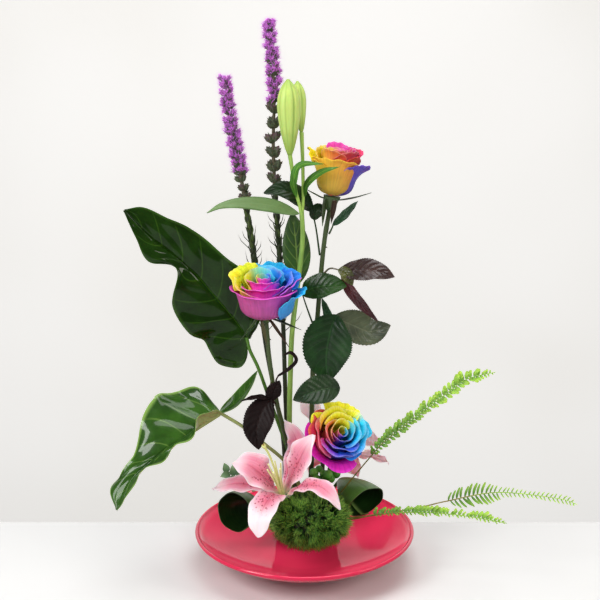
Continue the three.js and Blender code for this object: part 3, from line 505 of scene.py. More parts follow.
class Shader(Nodes):
    """The nodes of one material."""

    def __init__(self, name: str) -> None:
        """Starts a material with its shader and the coordinates of its piece.

        Args:
            name: name of the material.
        """
        self.material = bpy.data.materials.new(name)
        self.material.use_nodes = True
        super().__init__(self.material.node_tree)
        self.surface = self.tree.nodes["Principled BSDF"]
        self.place = self.node("TexCoord", output="Object")

    def painted(self, name: str) -> Field:
        """Reads a value that is painted on the mesh."""
        return self.node("Attribute", {"attribute_name": name}, output="Fac")

    def values(self) -> tuple[Field, ...]:
        """Reads the painted values along, across, side and tone."""
        return tuple(self.painted(name) for name in Draft.VALUES)

    def tint(self) -> Field:
        """Reads the colour that is painted on the mesh."""
        return self.node("Attribute", {"attribute_name": "tint"}, output="Color")

    def tinted(self, colour: Any) -> Field:
        """Multiplies a colour by the one that is painted on the mesh."""
        return self.mix(1.0, colour, self.tint(), "MULTIPLY")

    def streaks(self, along: Any, across: Any, tone: Any = 0.0, detail: float = 3) -> Field:
        """Gives fine lines that run from a petal's foot to its edge.

        Args:
            along: how far along the petal a place is, times how fast the lines change there.
            across: how far across it, times the same.
            tone: sets the lines of one petal apart from those of the next.
            detail: how many finer layers they have.

        Returns:
            The lines.
        """
        place = self.node("CombineXYZ", None, {0: across, 1: along, 2: tone})
        lines = self.node("TexNoise", None, {"Vector": place, "Scale": 1.0, "Detail": detail})
        return lines.smooth(0.35, 0.7)

    def noise(self, scale: float, detail: float = 3, stretch: Point | None = None) -> Field:
        """Gives soft noise between 0 and 1.

        Args:
            scale: blotches in a metre.
            detail: how many finer layers it has.
            stretch: factors on the coordinates.

        Returns:
            The noise.
        """
        place = self.place
        if stretch is not None:
            place = self.node("VectorMath", {"operation": "MULTIPLY"}, {0: place, 1: stretch})
        return self.node("TexNoise", None, {"Vector": place, "Scale": scale, "Detail": detail})

    def spots(self, scale: float) -> Field:
        """Gives the distance to the nearest of scattered points."""
        return self.node("TexVoronoi", None, {"Vector": self.place, "Scale": scale})

    def mix(self, share: Any, first: Any, second: Any, blend: str = "MIX") -> Field:
        """Mixes two colours.

        Args:
            share: share of the second colour.
            first: a colour code or field.
            second: a colour code or field.
            blend: way of blending.

        Returns:
            The mixed colour.
        """
        first, second = (rgba(colour) if isinstance(colour, str) else colour for colour in (first, second))
        return self.node(
            "Mix", {"data_type": "RGBA", "blend_type": blend}, {0: share, 6: first, 7: second}, 2
        )

    def finish(self, colour: Any, roughness: Any, height: Field | None = None, **more: Any) -> None:
        """Sets the surface.

        Args:
            colour: a colour code or field.
            roughness: a number or field.
            height: height of the surface's fine relief, in tenths of a millimetre.
            **more: values of the surface's other sockets, with _ for a space.
        """
        self.feed(self.surface.inputs["Base Color"], rgba(colour) if isinstance(colour, str) else colour)
        self.feed(self.surface.inputs["Roughness"], roughness)
        for key, value in more.items():
            self.feed(self.surface.inputs[key.replace("_", " ")], value)
        if height is not None:
            bump = self.node("Bump", None, {"Distance": 0.1 * MM, "Height": height})
            self.feed(self.surface.inputs["Normal"], bump)


class Slot(StrEnum):
    """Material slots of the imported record, named in lower case there."""

    BOWL_GLAZE = auto()
    PUTTY = auto()
    ANCHOR_PLASTIC = auto()
    FOAM = auto()
    ROSE_STEM = auto()
    ROSE_LEAF = auto()
    BRONZE_LEAF = auto()
    PETAL_YELLOW = auto()
    PETAL_MAGENTA = auto()
    PETAL_BLUE = auto()
    PETAL_VIOLET = auto()
    LILY_STEM = auto()
    LILY_BUD = auto()
    LILY_LEAF = auto()
    LILY_PETAL = auto()
    LILY_STYLE = auto()
    ANTHURIUM_LEAF = auto()
    ROLLED_LEAF = auto()
    DIANTHUS = auto()
    BERRY = auto()
    FERN = auto()
    LIATRIS_STEM = auto()
    LIATRIS = auto()


@dataclass(frozen=True)
class Finish:
    """A finish that is made once and shared by the pieces that have it."""

    name: str
    slot: Slot | None

    def material(self) -> bpy.types.Material:
        """Gives the finish's material, which is made when it is first asked for.

        Returns:
            The material.
        """
        known = bpy.data.materials.get(self.name)
        if known is not None:
            return known
        shader = Shader(self.name)
        self.paint(shader)
        return shader.material

    def paint(self, shader: Shader) -> None:
        """Adds the finish's nodes."""
        raise NotImplementedError


@dataclass(frozen=True)
class Glaze(Finish):
    """A glossy poured glaze, with faint ripples and specks, and painted shade that darkens its outer wall and
    foot.
    """

    colour: str = "f63660"
    pool: str = "e62c52"
    # colour that the outer wall, foot and outer lip are darkened towards: painted shade
    outside: str = "b01c3c"

    def paint(self, shader: Shader) -> None:
        """Adds the glaze's nodes.

        Args:
            shader: the shader that they join.
        """
        pooled = shader.noise(9, 2).smooth(0.35, 0.75)
        specks = 1 - shader.spots(900).smooth(0.05, 0.16)
        colour = shader.mix(pooled * 0.6, self.colour, self.pool)
        colour = shader.mix(specks * 0.12, colour, "7a0a20")
        profile = shader.painted("along")
        # Painted shade: below the lip's top the glaze darkens towards the outside colour.
        colour = shader.mix((1 - profile.smooth(0.54, 0.62)) * 0.6, colour, self.outside)
        rim = profile.smooth(0.5, 0.54) * (1 - profile.smooth(0.64, 0.68))
        roughness = 0.05 + shader.noise(60) * 0.05
        shader.finish(
            colour, roughness, shader.noise(35, 1) * 0.9, Coat_Weight=rim * 0.9, Coat_Roughness=0.04,
            Specular_IOR_Level=0.16,
        )


@dataclass(frozen=True)
class Matter(Finish):
    """A plain grainy material, such as foam, putty or moulded plastic."""

    light: str
    dark: str
    grain: float = 600
    depth: float = 2
    roughness: float = 0.9

    def paint(self, shader: Shader) -> None:
        """Adds the material's nodes.

        Args:
            shader: the shader that they join.
        """
        grain = shader.noise(self.grain, 4)
        patches = shader.noise(self.grain / 12, 2)
        colour = shader.mix((grain * 0.6 + patches * 0.4).smooth(0.3, 0.7), self.dark, self.light)
        shader.finish(colour, self.roughness + grain * 0.1 - 0.05, grain * self.depth)


@dataclass(frozen=True)
class Veins:
    """Side veins of a leaf, which run forward from its midrib."""

    count: float = 8
    slant: float = 0.22
    relief: float = 0.3
    width: float = 0.09

    def phase(self, along: Any, across: Any) -> Any:
        """Counts the veins up to a place, for numbers and shader fields alike."""
        return self.count * (along - self.slant * abs(across) ** 1.25)

    def height(self, along: Array, across: Array) -> Array:
        """Gives how far the leaf swells between its veins.

        Args:
            along: how far along the leaf each place is.
            across: how far across it, from -1 to 1.

        Returns:
            Heights, in millimetres.
        """
        between = np.abs(np.sin(np.pi * self.phase(along, across))) ** 0.6
        fade = smooth(0.0, 0.12, np.abs(across)) * (1 - smooth(0.75, 1.0, np.abs(across)))
        return self.relief * between * fade * smooth(0, 0.1, along) * (1 - smooth(0.85, 1, along))

    def lines(self, shader: Shader, midrib: float) -> Field:
        """Gives the mask of the veins and the midrib.

        Args:
            shader: the leaf's shader.
            midrib: half-width of the midrib.

        Returns:
            The mask.
        """
        along, across = shader.painted("along"), shader.painted("across")
        off = abs((self.phase(along, across) + 0.5).part() - 0.5)
        side = (1 - off.smooth(self.width * 0.25, self.width)) * (1 - abs(across).smooth(0.7, 1.0)) * 0.65
        return side.most(1 - abs(across).smooth(midrib * 0.4, midrib))


@dataclass(frozen=True)
class LeafFinish(Finish):
    """A leaf with veins, a paler underside and a waxy gloss."""

    upper: str
    deep: str
    under: str
    vein: str
    veins: Veins = Veins()
    vein_share: float = 0.5
    midrib: float = 0.05
    edge: str = ""
    roughness: float = 0.38
    coat: float = 0.1
    polish: float = 0.1
    shine: float = 0.3
    glow: float = 0.05

    def paint(self, shader: Shader) -> None:
        """Adds the leaf's nodes.

        Args:
            shader: the shader that they join.
        """
        _, across, side, tone = shader.values()
        patches = shader.noise(45, 3)
        fine = shader.noise(500, 4)
        lines = self.veins.lines(shader, self.midrib)
        top = shader.mix((patches + tone * 0.6 - 0.3).smooth(0.3, 0.75), self.deep, self.upper)
        if self.edge:
            top = shader.mix(abs(across).smooth(0.9, 1.0) * 0.7, top, self.edge)
        top = shader.mix(lines * self.vein_share, top, self.vein)
        bottom = shader.mix(patches * 0.35 + lines * 0.25, self.under, self.vein)
        colour = shader.mix(side.smooth(0.3, 0.7), bottom, top)
        colour = shader.mix(fine.smooth(0.35, 0.8) * 0.16, colour, self.deep)
        colour = shader.tinted(colour)
        roughness = self.roughness + fine * 0.12 + lines * 0.06 - 0.06
        height = fine * 0.8 + shader.noise(1500, 2) * 0.5 + lines * 0.8
        shader.finish(
            colour, roughness, height, Coat_Weight=self.coat, Coat_Roughness=self.polish,
            Subsurface_Weight=self.glow, Subsurface_Scale=0.0015, Specular_IOR_Level=self.shine,
        )


@dataclass(frozen=True)
class StemFinish(Finish):
    """A stem with long fibres and paler and darker patches."""

    light: str
    dark: str
    roughness: float = 0.5

    def paint(self, shader: Shader) -> None:
        """Adds the stem's nodes.

        Args:
            shader: the shader that they join.
        """
        fibres = shader.noise(900, 3, (1, 1, 0.06))
        patches = shader.noise(30, 3)
        tone = shader.painted("tone")
        share = (fibres * 0.35 + patches * 0.65 + tone * 0.5 - 0.25).smooth(0.25, 0.75)
        colour = shader.mix(share, self.dark, self.light)
        shader.finish(
            shader.tinted(colour), self.roughness + fibres * 0.1, fibres * 1.5,
            Subsurface_Weight=0.06, Subsurface_Scale=0.001,
        )


@dataclass(frozen=True)
class PetalFinish(Finish):
    """A petal that keeps its painted colour, with fine veins and darker blotches."""

    roughness: float = 0.5
    glow: float = 0.2
    veins: float = 0.3

    def paint(self, shader: Shader) -> None:
        """Adds the petal's nodes.

        Args:
            shader: the shader that they join.
        """
        along, across, side, tone = shader.values()
        streak = shader.streaks(along * 1.4, across * 26, tone * 9)
        blotch = shader.noise(160, 3)
        deeper = shader.tinted("9c9c9c")
        colour = shader.mix(streak * self.veins, shader.tint(), deeper)
        colour = shader.mix(blotch.smooth(0.45, 0.8) * 0.25, colour, deeper)
        colour = shader.mix((1 - side) * 0.04, colour, "ffffff")
        shader.finish(
            colour, self.roughness + blotch * 0.15, streak * 0.7 + shader.noise(900, 2) * 0.5,
            Subsurface_Weight=self.glow, Subsurface_Scale=0.002, Specular_IOR_Level=0.2,
        )


@dataclass(frozen=True)
class LilyFinish(Finish):
    """A pink tepal with white edges, a deep pink middle and dark raised spots."""

    spotted: bool = True
    white_from: float = 0.7

    def paint(self, shader: Shader) -> None:
        """Adds the tepal's nodes.

        Args:
            shader: the shader that they join.
        """
        along, across, side, _ = shader.values()
        wide = abs(across)
        streaks = shader.streaks(along * 2, across * 22, detail=2)
        white = along.smooth(self.white_from, self.white_from + 0.35)
        pink = (1 - wide.smooth(0.55, 1.0) * 0.8) * (1 - white * 0.9)
        colour = shader.mix(pink * 0.85 + streaks * 0.15, "ecd0d8", "dc849c")
        colour = shader.mix(white * 0.6, colour, "f4e8ea")
        heart = (1 - wide.smooth(0.1, 0.7)) * (1 - along.smooth(0.5, 0.85)) * along.smooth(0.05, 0.25)
        colour = shader.mix(heart * (1 - white) * (0.5 + streaks * 0.3), colour, "c64868")
        middle = (1 - wide.smooth(0.02, 0.1)) * (1 - along.smooth(0.65, 0.9)) * along.smooth(0.05, 0.3)
        colour = shader.mix(middle * (1 - white) * 0.45, colour, "b03458")
        colour = shader.mix(wide.smooth(0.93, 1.0) * 0.7, colour, "f2e2e4")
        colour = shader.mix((1 - along.smooth(0.02, 0.2)) * 0.75, colour, "dfe0a8")
        if self.spotted:
            zone = (1 - along.smooth(0.5, 0.72)) * along.smooth(0.12, 0.22) * (1 - wide.smooth(0.6, 0.92))
            colour = shader.mix((1 - shader.spots(300).smooth(0.24, 0.33)) * zone * 0.9, colour, "8e2743")
        colour = shader.mix((1 - side) * 0.35, colour, "f3dfe2")
        shader.finish(
            colour, 0.42 + streaks * 0.1, streaks * 1.2 + shader.noise(1100, 2) * 0.6,
            Subsurface_Weight=0.22, Subsurface_Scale=0.002, Sheen_Weight=0.05, Specular_IOR_Level=0.4,
        )


@dataclass(frozen=True)
class Bristle(Finish):
    """Fine needles or filaments that change colour from their foot to their tip."""

    foot: str
    middle: str
    tip: str
    other_tip: str
    roughness: float = 0.6
    glow: float = 0.1

    def paint(self, shader: Shader) -> None:
        """Adds the needles' nodes.

        Args:
            shader: the shader that they join.
        """
        along, _, _, tone = shader.values()
        tip = shader.mix(tone.smooth(0.2, 0.9), self.tip, self.other_tip)
        colour = shader.mix(along.smooth(0.0, 0.55), self.foot, self.middle)
        colour = shader.mix(along.smooth(0.45, 1.0), colour, tip)
        colour = shader.mix(shader.noise(120, 2).smooth(0.4, 0.7) * 0.3, colour, self.foot)
        shader.finish(
            shader.tinted(colour), self.roughness + shader.noise(300) * 0.1, shader.noise(2500, 1) * 0.3,
            Subsurface_Weight=self.glow, Subsurface_Scale=0.001,
        )


@dataclass(frozen=True)
class BudFinish(Finish):
    """A closed bud with deeper seams and a greener foot and tip."""

    light: str = "b6cd6c"
    deep: str = "7c9c3a"

    def paint(self, shader: Shader) -> None:
        """Adds the bud's nodes.

        Args:
            shader: the shader that they join.
        """
        along, around, _, _ = shader.values()
        fibres = shader.noise(700, 3, (1, 1, 0.05))
        ends = (1 - along.smooth(0.0, 0.5)) * 0.75 + along.smooth(0.84, 1.0) * 0.6
        colour = shader.mix(ends, self.light, self.deep)
        from_rib = abs((around * 1.5 + 0.5).part() - 0.5)
        seam = from_rib.smooth(0.42, 0.49)
        groove = 1 - abs(from_rib - 0.13).smooth(0.015, 0.05)
        colour = shader.mix((seam * 0.6).most(groove * 0.35), colour, "74943a")
        colour = shader.mix(fibres.smooth(0.4, 0.75) * 0.2, colour, self.deep)
        shader.finish(
            colour, 0.42 + fibres * 0.1, fibres * 1.4, Subsurface_Weight=0.25, Subsurface_Scale=0.003,
            Specular_IOR_Level=0.4,
        )


# ---------- Leaves and petals ----------


class Outline(Enum):
    """How the half-width of a blade changes along its length."""

    TONGUE = (0.95, 0.5)
    OVAL = (0.85, 0.75)
    LANCE = (0.7, 0.9)
    STRAP = (1.0, 0.35)
    TEPAL = (1.4, 0.9)

    def width(self, along: Array) -> Array:
        """Gives the half-width as a share of the greatest one."""
        lean, fullness = self.value
        return np.maximum(np.sin(np.pi * np.clip(along, 0, 1) ** lean), 0) ** fullness


@dataclass(frozen=True)
class Blade:
    """A thin leaf or petal along a spine."""

    spine: Route
    facing: Point
    half_width: float
    facing_end: Point | None = None
    outline: Outline = Outline.OVAL
    fold: float = 0.0
    cup: float = 0.0
    ripple: float = 0.0
    waves: float = 3.0
    curl: float = 0.0
    teeth: int = 0
    veins: Veins | None = None
    thickness: float = 0.7
    rows: int = 64
    columns: int = 23
    tone: float = 0.5
    tint: Point = (1, 1, 1)

    def sheet(self) -> Sheet:
        """Lays the grid of the blade along its spine.

        Returns:
            The middle surface.
        """
        spine = Spine(self.spine)
        along, across = grid(self.rows, self.columns)
        tangent = spine.tangent(along)
        start, end = vector(self.facing), vector(self.facing_end or self.facing)
        upper = start + (end - start) * along[..., None]
        side = unit(np.cross(tangent, upper))
        normal = np.cross(side, tangent)
        teeth = 1 - 0.07 * ((along * self.teeth) % 1.0) if self.teeth else 1.0
        width = np.maximum(0.25, self.half_width * self.outline.width(along) * teeth)
        edge = np.abs(across)
        wave = self.ripple * edge**2 * np.sin(2 * np.pi * self.waves * along + 1.7 * across)
        lift = width * (math.sin(self.fold) * np.sqrt(edge**2 + 0.002) + self.cup * across**2) + wave
        lift = lift + self.curl * edge**5
        if self.veins is not None:
            lift = lift + self.veins.height(along, across)
        points = (
            spine.at(along) + side * (width * across * math.cos(self.fold))[..., None]
            + normal * lift[..., None]
        )
        return Sheet(points, along, across)

    def add_to(self, draft: Draft) -> None:
        """Adds the blade to a draft, thinner towards its edge."""
        sheet = self.sheet()
        draft.plate(sheet, self.thickness * (1 - 0.55 * np.abs(sheet.across) ** 4), self.tone, self.tint)


class Assembly:
    """Something that adds dressed pieces to the arrangement."""

    def show(self, draft: Draft, name: str, finish: Finish, node: str, crisp: bool = True) -> None:
        """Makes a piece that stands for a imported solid.

        Args:
            draft: its mesh.
            name: its name.
            finish: its finish.
            node: the solid that it stands for.
            crisp: whether its sharp edges stay crisp.
        """
        piece = draft.build(name, crisp)
        piece.data.materials.append(finish.material())
        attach(piece, "root")
        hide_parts(node)
        log.info("%s: %d faces for %s", name, len(piece.data.polygons), node)

    def dress(self, node: str, finish: Finish) -> None:
        """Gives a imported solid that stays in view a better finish.

        Args:
            node: the solid.
            finish: its finish.
        """
        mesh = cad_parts[node].data
        mesh.materials.clear()
        mesh.materials.append(finish.material())
        log.info("%s: %d faces, which are its solid's own", node, len(mesh.polygons))

    def make(self) -> None:
        """Makes every piece."""
        raise NotImplementedError


# ---------- Bowl and foam ----------


@dataclass
class Holder(Assembly):
    """The bowl, and the putty, prongs and foam that hold the stems."""

    foot_radius: float = 42
    foot_height: float = 6
    wall: float = 4
    floor: float = 12
    foam_bevel: float = 3
    seed: int = 11
    glaze: Finish = Glaze("raspberry_glaze", Slot.BOWL_GLAZE)
    foam: Finish = Matter("wet_foam", Slot.FOAM, "3c6a3c", "1e3a22", 700, 4)
    putty: Finish = Matter("florist_putty", Slot.PUTTY, "5a7350", "3c5236", 300, 2)
    plastic: Finish = Matter("anchor_plastic", Slot.ANCHOR_PLASTIC, "3a6b40", "2a5230", 200, 0.6, 0.45)

    def make(self) -> None:
        """Makes the bowl and the foam, and dresses what lies under the foam."""
        self.make_bowl()
        self.make_foam()
        self.dress("anchor_putty", self.putty)
        self.dress("foam_anchor", self.plastic)

    def make_bowl(self) -> None:
        """Makes the bowl from one turned profile, as wide and high as its solid."""
        _, (rim, _, height) = node_box("bowl")
        foot, step, floor = self.foot_radius, self.foot_height, self.floor
        stand = [(foot - 3, 0), (foot - 1, 0.2), (foot, 1.5)]
        stand += [(foot + 0.1, step - 1.5), (foot + 0.4, step - 0.4)]
        underside = self._sweep((foot + 1, step), (rim * 0.78, step + 7), (rim - 0.4, height - 3))
        around = np.linspace(-0.9, 2.6, 9)
        lip = [(rim - 1.5 + 1.5 * math.cos(a), height - 1.5 + 1.5 * math.sin(a)) for a in around]
        inside = self._sweep((rim - self.wall + 1.2, height - 1.3), (rim * 0.76, floor + 5), (foot, floor))
        bowl = Draft()
        bowl.lathe([*stand, *underside, *lip, *inside, (foot / 2, floor - 0.3)], 144)
        self.show(bowl, "glazed_bowl", self.glaze, "bowl", crisp=False)

    def make_foam(self) -> None:
        """Makes the foam block, with a crumbly cut surface."""
        low, high = node_box("floral_foam")
        centre, radius = (low + high) / 2, (high[0] - low[0]) / 2
        bevel = self.foam_bevel
        base = [(r, low[2]) for r in np.linspace(1, radius, 6)[:-1]]
        wall = [(radius, z) for z in np.linspace(low[2], high[2] - bevel, 24)]
        top = [(radius - bevel * s, high[2] - bevel + bevel * s) for s in (0.35, 0.7, 1.0)]
        lid = [(r, high[2]) for r in np.linspace(radius - bevel, 1, 16)[1:]]
        profile, sides = [*base, *wall, *top, *lid], 96
        crumbs = np.random.default_rng(self.seed).normal(0, 0.006, (len(profile), sides))
        foam = Draft()
        foam.lathe(profile, sides, (centre[0], centre[1], 0), swell=lambda azimuth, z: 1 - np.abs(crumbs))
        self.show(foam, "foam_block", self.foam, "floral_foam", crisp=False)

    @staticmethod
    def _sweep(start: Point, control: Point, end: Point, steps: int = 20) -> list[Point]:
        """Gives points of a curve with one control point.

        Args:
            start: where it starts.
            control: the point that it bends towards.
            end: where it ends.
            steps: how many points are given.

        Returns:
            The points.
        """
        return [
            tuple((1 - t) ** 2 * np.array(start) + 2 * t * (1 - t) * np.array(control) + t**2 * np.array(end))
            for t in np.linspace(0, 1, steps)
        ]


# ---------- Roses ----------


@dataclass(frozen=True)
class Petal:
    """One rose petal, which rises from the bloom's foot and rolls outwards at its lip.

    wall and top are shares of the bloom's radius and height, lean and roll are angles from upright,
    colours are those of the foot, the middle and the lip, where the darker foot is painted shade deep
    in the bloom and the lighter lip a painted highlight, and blush colours the far side.
    """

    azimuth: float
    half_turn: float
    wall: float
    top: float
    roll: float = 1.2
    lean: float = 0.0
    colours: tuple[str, str, str] | None = None
    lip: float = 0.8
    foot: float = 0.14
    ruffle: float = 1.0
    tone: float = 0.0
    twist: float = 0.035
    blush: str = ""


@dataclass(frozen=True)
class Whorl:
    """A turn of petals that are alike."""

    count: int
    half_turn: float
    wall: float
    top: float
    roll: float
    lean: float = 0.0

    def petals(self, start: float, rng: np.random.Generator) -> list[Petal]:
        """Gives the whorl's petals, each a little different.

        Args:
            start: the azimuth of the first one.
            rng: the random draws.

        Returns:
            The petals.
        """
        return [
            Petal(
                float(turn + rng.uniform(-0.12, 0.12)), self.half_turn * float(rng.uniform(0.92, 1.08)),
                self.wall * float(rng.uniform(0.96, 1.04)), self.top + float(rng.uniform(-0.02, 0.02)),
                self.roll * float(rng.uniform(0.75, 1.2)), self.lean,
                lip=0.8 + float(rng.uniform(-0.04, 0.04)), foot=0.3 * self.wall, tone=float(rng.random()),
                twist=0.08
            )
            for turn in start + 2 * np.pi * np.arange(self.count) / self.count
        ]


@dataclass(frozen=True)
class Ring:
    """Colour codes around a bloom, by rising azimuth."""

    stops: dict[float, str]

    def at(self, azimuth: Array) -> Array:
        """Gives the colours at azimuths.

        Args:
            azimuth: the azimuths.

        Returns:
            Red, green and blue for each.
        """
        known = np.array(list(self.stops))
        colours = np.array([rgb(code) for code in self.stops.values()])
        known = np.concatenate([known[-1:] - 2 * np.pi, known, known[:1] + 2 * np.pi])
        colours = np.concatenate([colours[-1:], colours, colours[:1]])
        turn = known[1] + (azimuth - known[1]) % (2 * np.pi)
        return np.stack([np.interp(turn, known, colours[:, k]) for k in range(3)], axis=-1)


YELLOW, MAGENTA, BLUE, VIOLET = (
    PetalFinish(f"rose_petals_{tone}", Slot(f"petal_{tone}"))
    for tone in ("yellow", "magenta", "blue", "violet")
)
SEPAL_TINTS = ((1, 1, 1), (2.0, 0.6, 0.9), (1.2, 1.2, 0.8), (1, 1, 1), (1.8, 0.8, 0.9))


@dataclass
class Rose(Assembly):
    """A dyed rose: its stem, calyx, heart and wrapped petals.

    finishes are those of the heart and of the two outer petals that are solids of their own; sepals
    give each sepal's azimuth, reach, rise and shift to its side.
    """

    name: str
    finishes: tuple[Finish, Finish, Finish]
    route: Route
    radius: float
    height: float
    base: Point
    axis: Point
    stem_radius: float
    inner: Ring
    outer: Ring
    whorls: Sequence[Whorl]
    guards: Sequence[Petal]
    sepals: Route
    seed: int = 1
    calyx_height: float = 9
    neck: float = 1.0
    sepal_width: float = 2.5
    prickles: int = 5
    nodes_on_stem: int = 7
    stem: Finish = StemFinish("rose_stem_bark", Slot.ROSE_STEM, "667a3c", "36461f")
    green: Finish = LeafFinish(
        "rose_calyx_green", Slot.ROSE_LEAF, "334a22", "1c2414", "3c5230", "4c6434", Veins(5, 0.2, 0), 0.3,
    )

    def make(self) -> None:
        """Makes the stem, the calyx and the bloom."""
        self.turn = turn_to(self.axis)
        self.make_stem()
        self.make_calyx()
        self.make_bloom()

    def make_stem(self) -> None:
        """Makes the stem, with its swollen nodes and a few blunt prickles."""
        draft, spine = Draft(), Spine(self.route)

        def width(share: Array) -> Array:
            """Gives the stem's radius, which swells at each of its nodes."""
            node = np.exp(-(((share * self.nodes_on_stem % 1 - 0.5) / 0.09) ** 2))
            return self.stem_radius * (1.08 - 0.16 * share + 0.12 * node)

        draft.tube(spine, width, 16, 4)
        rng = np.random.default_rng(self.seed)
        share = np.linspace(0.3, 0.9, self.prickles) + rng.uniform(-0.03, 0.03, self.prickles)
        out = polar(rng.uniform(0, 2 * np.pi, self.prickles))
        roots = spine.at(share) + out * self.stem_radius * 0.7
        draft.needles(roots, roots + out * 3.6 - [0, 0, 1.2], 1.1, out * 0, 0, (0.75, 0.5, 0.35))
        self.show(draft, f"{self.name}_stalk", self.stem, f"{self.name}_stem")

    def make_calyx(self) -> None:
        """Makes the green cup and its five thin sepals."""
        draft = Draft()
        top, neck = self.calyx_height - 0.3, self.neck
        low, root = top / 8.7, self.calyx_height - 3
        cup = [
            (1.2, 0), (2.6, 0.4), (4.2 * neck, 2 * low), (5.0 * neck, 3.6 * low), (5.6 * neck, 5.5 * low),
            (6.9 * neck, 7.4 * low), (7.4 * neck, top - 0.4), (6.4 * neck, top), (1, top),
        ]
        foot = vector(self.base) - unit(self.axis) * self.calyx_height
        draft.lathe(cup, 32, foot, self.turn, 0.3, lambda azimuth, z: 1 + 0.05 * np.cos(5 * azimuth))
        for index, (azimuth, reach, rise, side) in enumerate(self.sepals):
            out, beside = polar(azimuth), polar(azimuth + np.pi / 2)
            shoulder = min(9.0, 3 + 0.6 * reach)
            local = [
                out * 4 + [0, 0, root], out * shoulder + [0, 0, root - 0.4],
                out * max(shoulder, 0.6 * reach) + beside * side * 0.4 + [0, 0, root - 1 + 0.4 * rise],
                out * reach + beside * side + [0, 0, root - 1 + rise],
            ]
            Blade(
                [self.turn @ point + foot for point in local], self.turn @ ([0, 0, 1] + 0.3 * out),
                self.sepal_width, outline=Outline.LANCE, cup=0.3, rows=28, columns=9, thickness=0.6,
                tone=0.2 + 0.15 * index, tint=SEPAL_TINTS[index],
            ).add_to(draft)
        self.show(draft, f"{self.name}_sepals", self.green, f"{self.name}_calyx")

    def make_bloom(self) -> None:
        """Makes the whorls of inner petals, then the guard petals one by one."""
        rng = np.random.default_rng(self.seed)
        heart = Draft()
        outermost = max(whorl.wall for whorl in self.whorls)
        for index, whorl in enumerate(self.whorls):
            for petal in whorl.petals(GOLDEN_TURN * index, rng):
                self._add_petal(heart, petal, whorl.wall / outermost)
        for petal in self.guards[2:]:
            self._add_petal(heart, petal)
        self.show(heart, f"{self.name}_petals", self.finishes[0], f"{self.name}_bloom")
        for number in (1, 2):
            guard = Draft()
            self._add_petal(guard, self.guards[number - 1])
            name = f"{self.name}_guard_petal_{number}"
            self.show(guard, name, self.finishes[number], f"{self.name}_outer_petal_{number}")

    def _add_petal(self, draft: Draft, petal: Petal, level: float = 0.0) -> None:
        """Adds one petal, drawn along its own profile and then wrapped around the bloom's axis.

        Args:
            draft: the mesh that it joins.
            petal: its sizes.
            level: 0 in the heart to 1 outside, which mixes the colours around the bloom.
        """
        rows, columns = (36, 37) if petal.colours else (28, 27)
        rise, across = grid(rows, columns, -1)
        phase = 19 * petal.tone
        waves = np.sin(3.3 * across + phase) * 0.6 + np.sin(7.7 * across + 2.1 * phase) * 0.3
        ruffle = petal.ruffle * waves
        corner = np.abs(across) ** 2.6
        lip = smooth(petal.lip, 1.0, rise)
        angle = 1.2 * (1 - smooth(0, 0.5, rise)) + petal.lean * smooth(0.3, 0.85, rise)
        angle = angle + petal.roll * (1 + 0.45 * ruffle) * lip
        step = (1 - 0.2 * corner + 0.02 * ruffle) / (rows - 1)
        out, up = (np.cumsum(part * step, axis=0) for part in (np.sin(angle), np.cos(angle)))
        out, up = out - out[:1], up - up[:1]
        middle = columns // 2
        radius = petal.foot + out * (petal.wall - petal.foot) / max(out[:, middle].max(), 1e-3)
        height = up * petal.top / up[:, middle].max()
        spread = 0.4 + 0.6 * np.sin(0.5 * np.pi * np.minimum(rise / 0.62, 1)) ** 0.9
        azimuth = petal.azimuth + petal.half_turn * across * spread * (1 + 0.04 * ruffle * rise)
        radius = radius + petal.twist * across * petal.wall + 0.014 * ruffle * rise**2
        frill = petal.ruffle * 0.01 * np.sin(17 * across + 5 * phase) * smooth(0.75, 1.0, rise)
        local = polar(azimuth, self.radius * radius, self.height * (0.02 + height + frill))
        sheet = Sheet(local @ self.turn.T + vector(self.base), rise, across)
        if petal.colours:
            # The given foot colour is darker as painted shade deep in the bloom, the lip colour lighter as a
            # painted highlight.
            low, main, high = (rgb(code) for code in petal.colours)
            if petal.blush:
                side = smooth(-0.3, 0.9, across)[..., None]
                main = main * (1 - side) + rgb(petal.blush) * side
        else:
            seen = petal.azimuth + 0.6 * (azimuth - petal.azimuth)
            main = (1 - level) * self.inner.at(seen) + level * self.outer.at(seen)
            # A darker foot as painted shade and a paler lip as a painted highlight.
            low, high = 0.82 * main**1.3, 0.8 * main + 0.2
        # The painted shade at the foot fades towards the lip, where the last rows take the painted highlight.
        blend = smooth(0.0 if petal.colours else 0.4, 0.95, rise)[..., None]
        edge = smooth(0.94, 1.0, rise)[..., None] * 0.8
        tint = (low * (1 - blend) + main * blend) * (1 - edge) + high * edge
        draft.plate(sheet, 0.55 * (1 - 0.35 * rise), petal.tone, tint)


@dataclass
class RoseLeaf(Assembly):
    """A compound rose leaf: a thin stalk and its leaflets."""

    node: str
    rachis: Route
    leaflets: Sequence[Blade]
    finish: Finish

    def make(self) -> None:
        """Makes the leaf as one piece."""
        draft = Draft()
        draft.tube(Spine(self.rachis), lambda s: 1.0 - 0.35 * s, 10, 2, tone=0.4)
        for leaflet in self.leaflets:
            leaflet.add_to(draft)
        self.show(draft, f"{self.node}_blades", self.finish, self.node)


# ---------- Lilies ----------


LILY_GREEN = StemFinish("lily_stem_green", Slot.LILY_STEM, "94b552", "5f8637", 0.42)


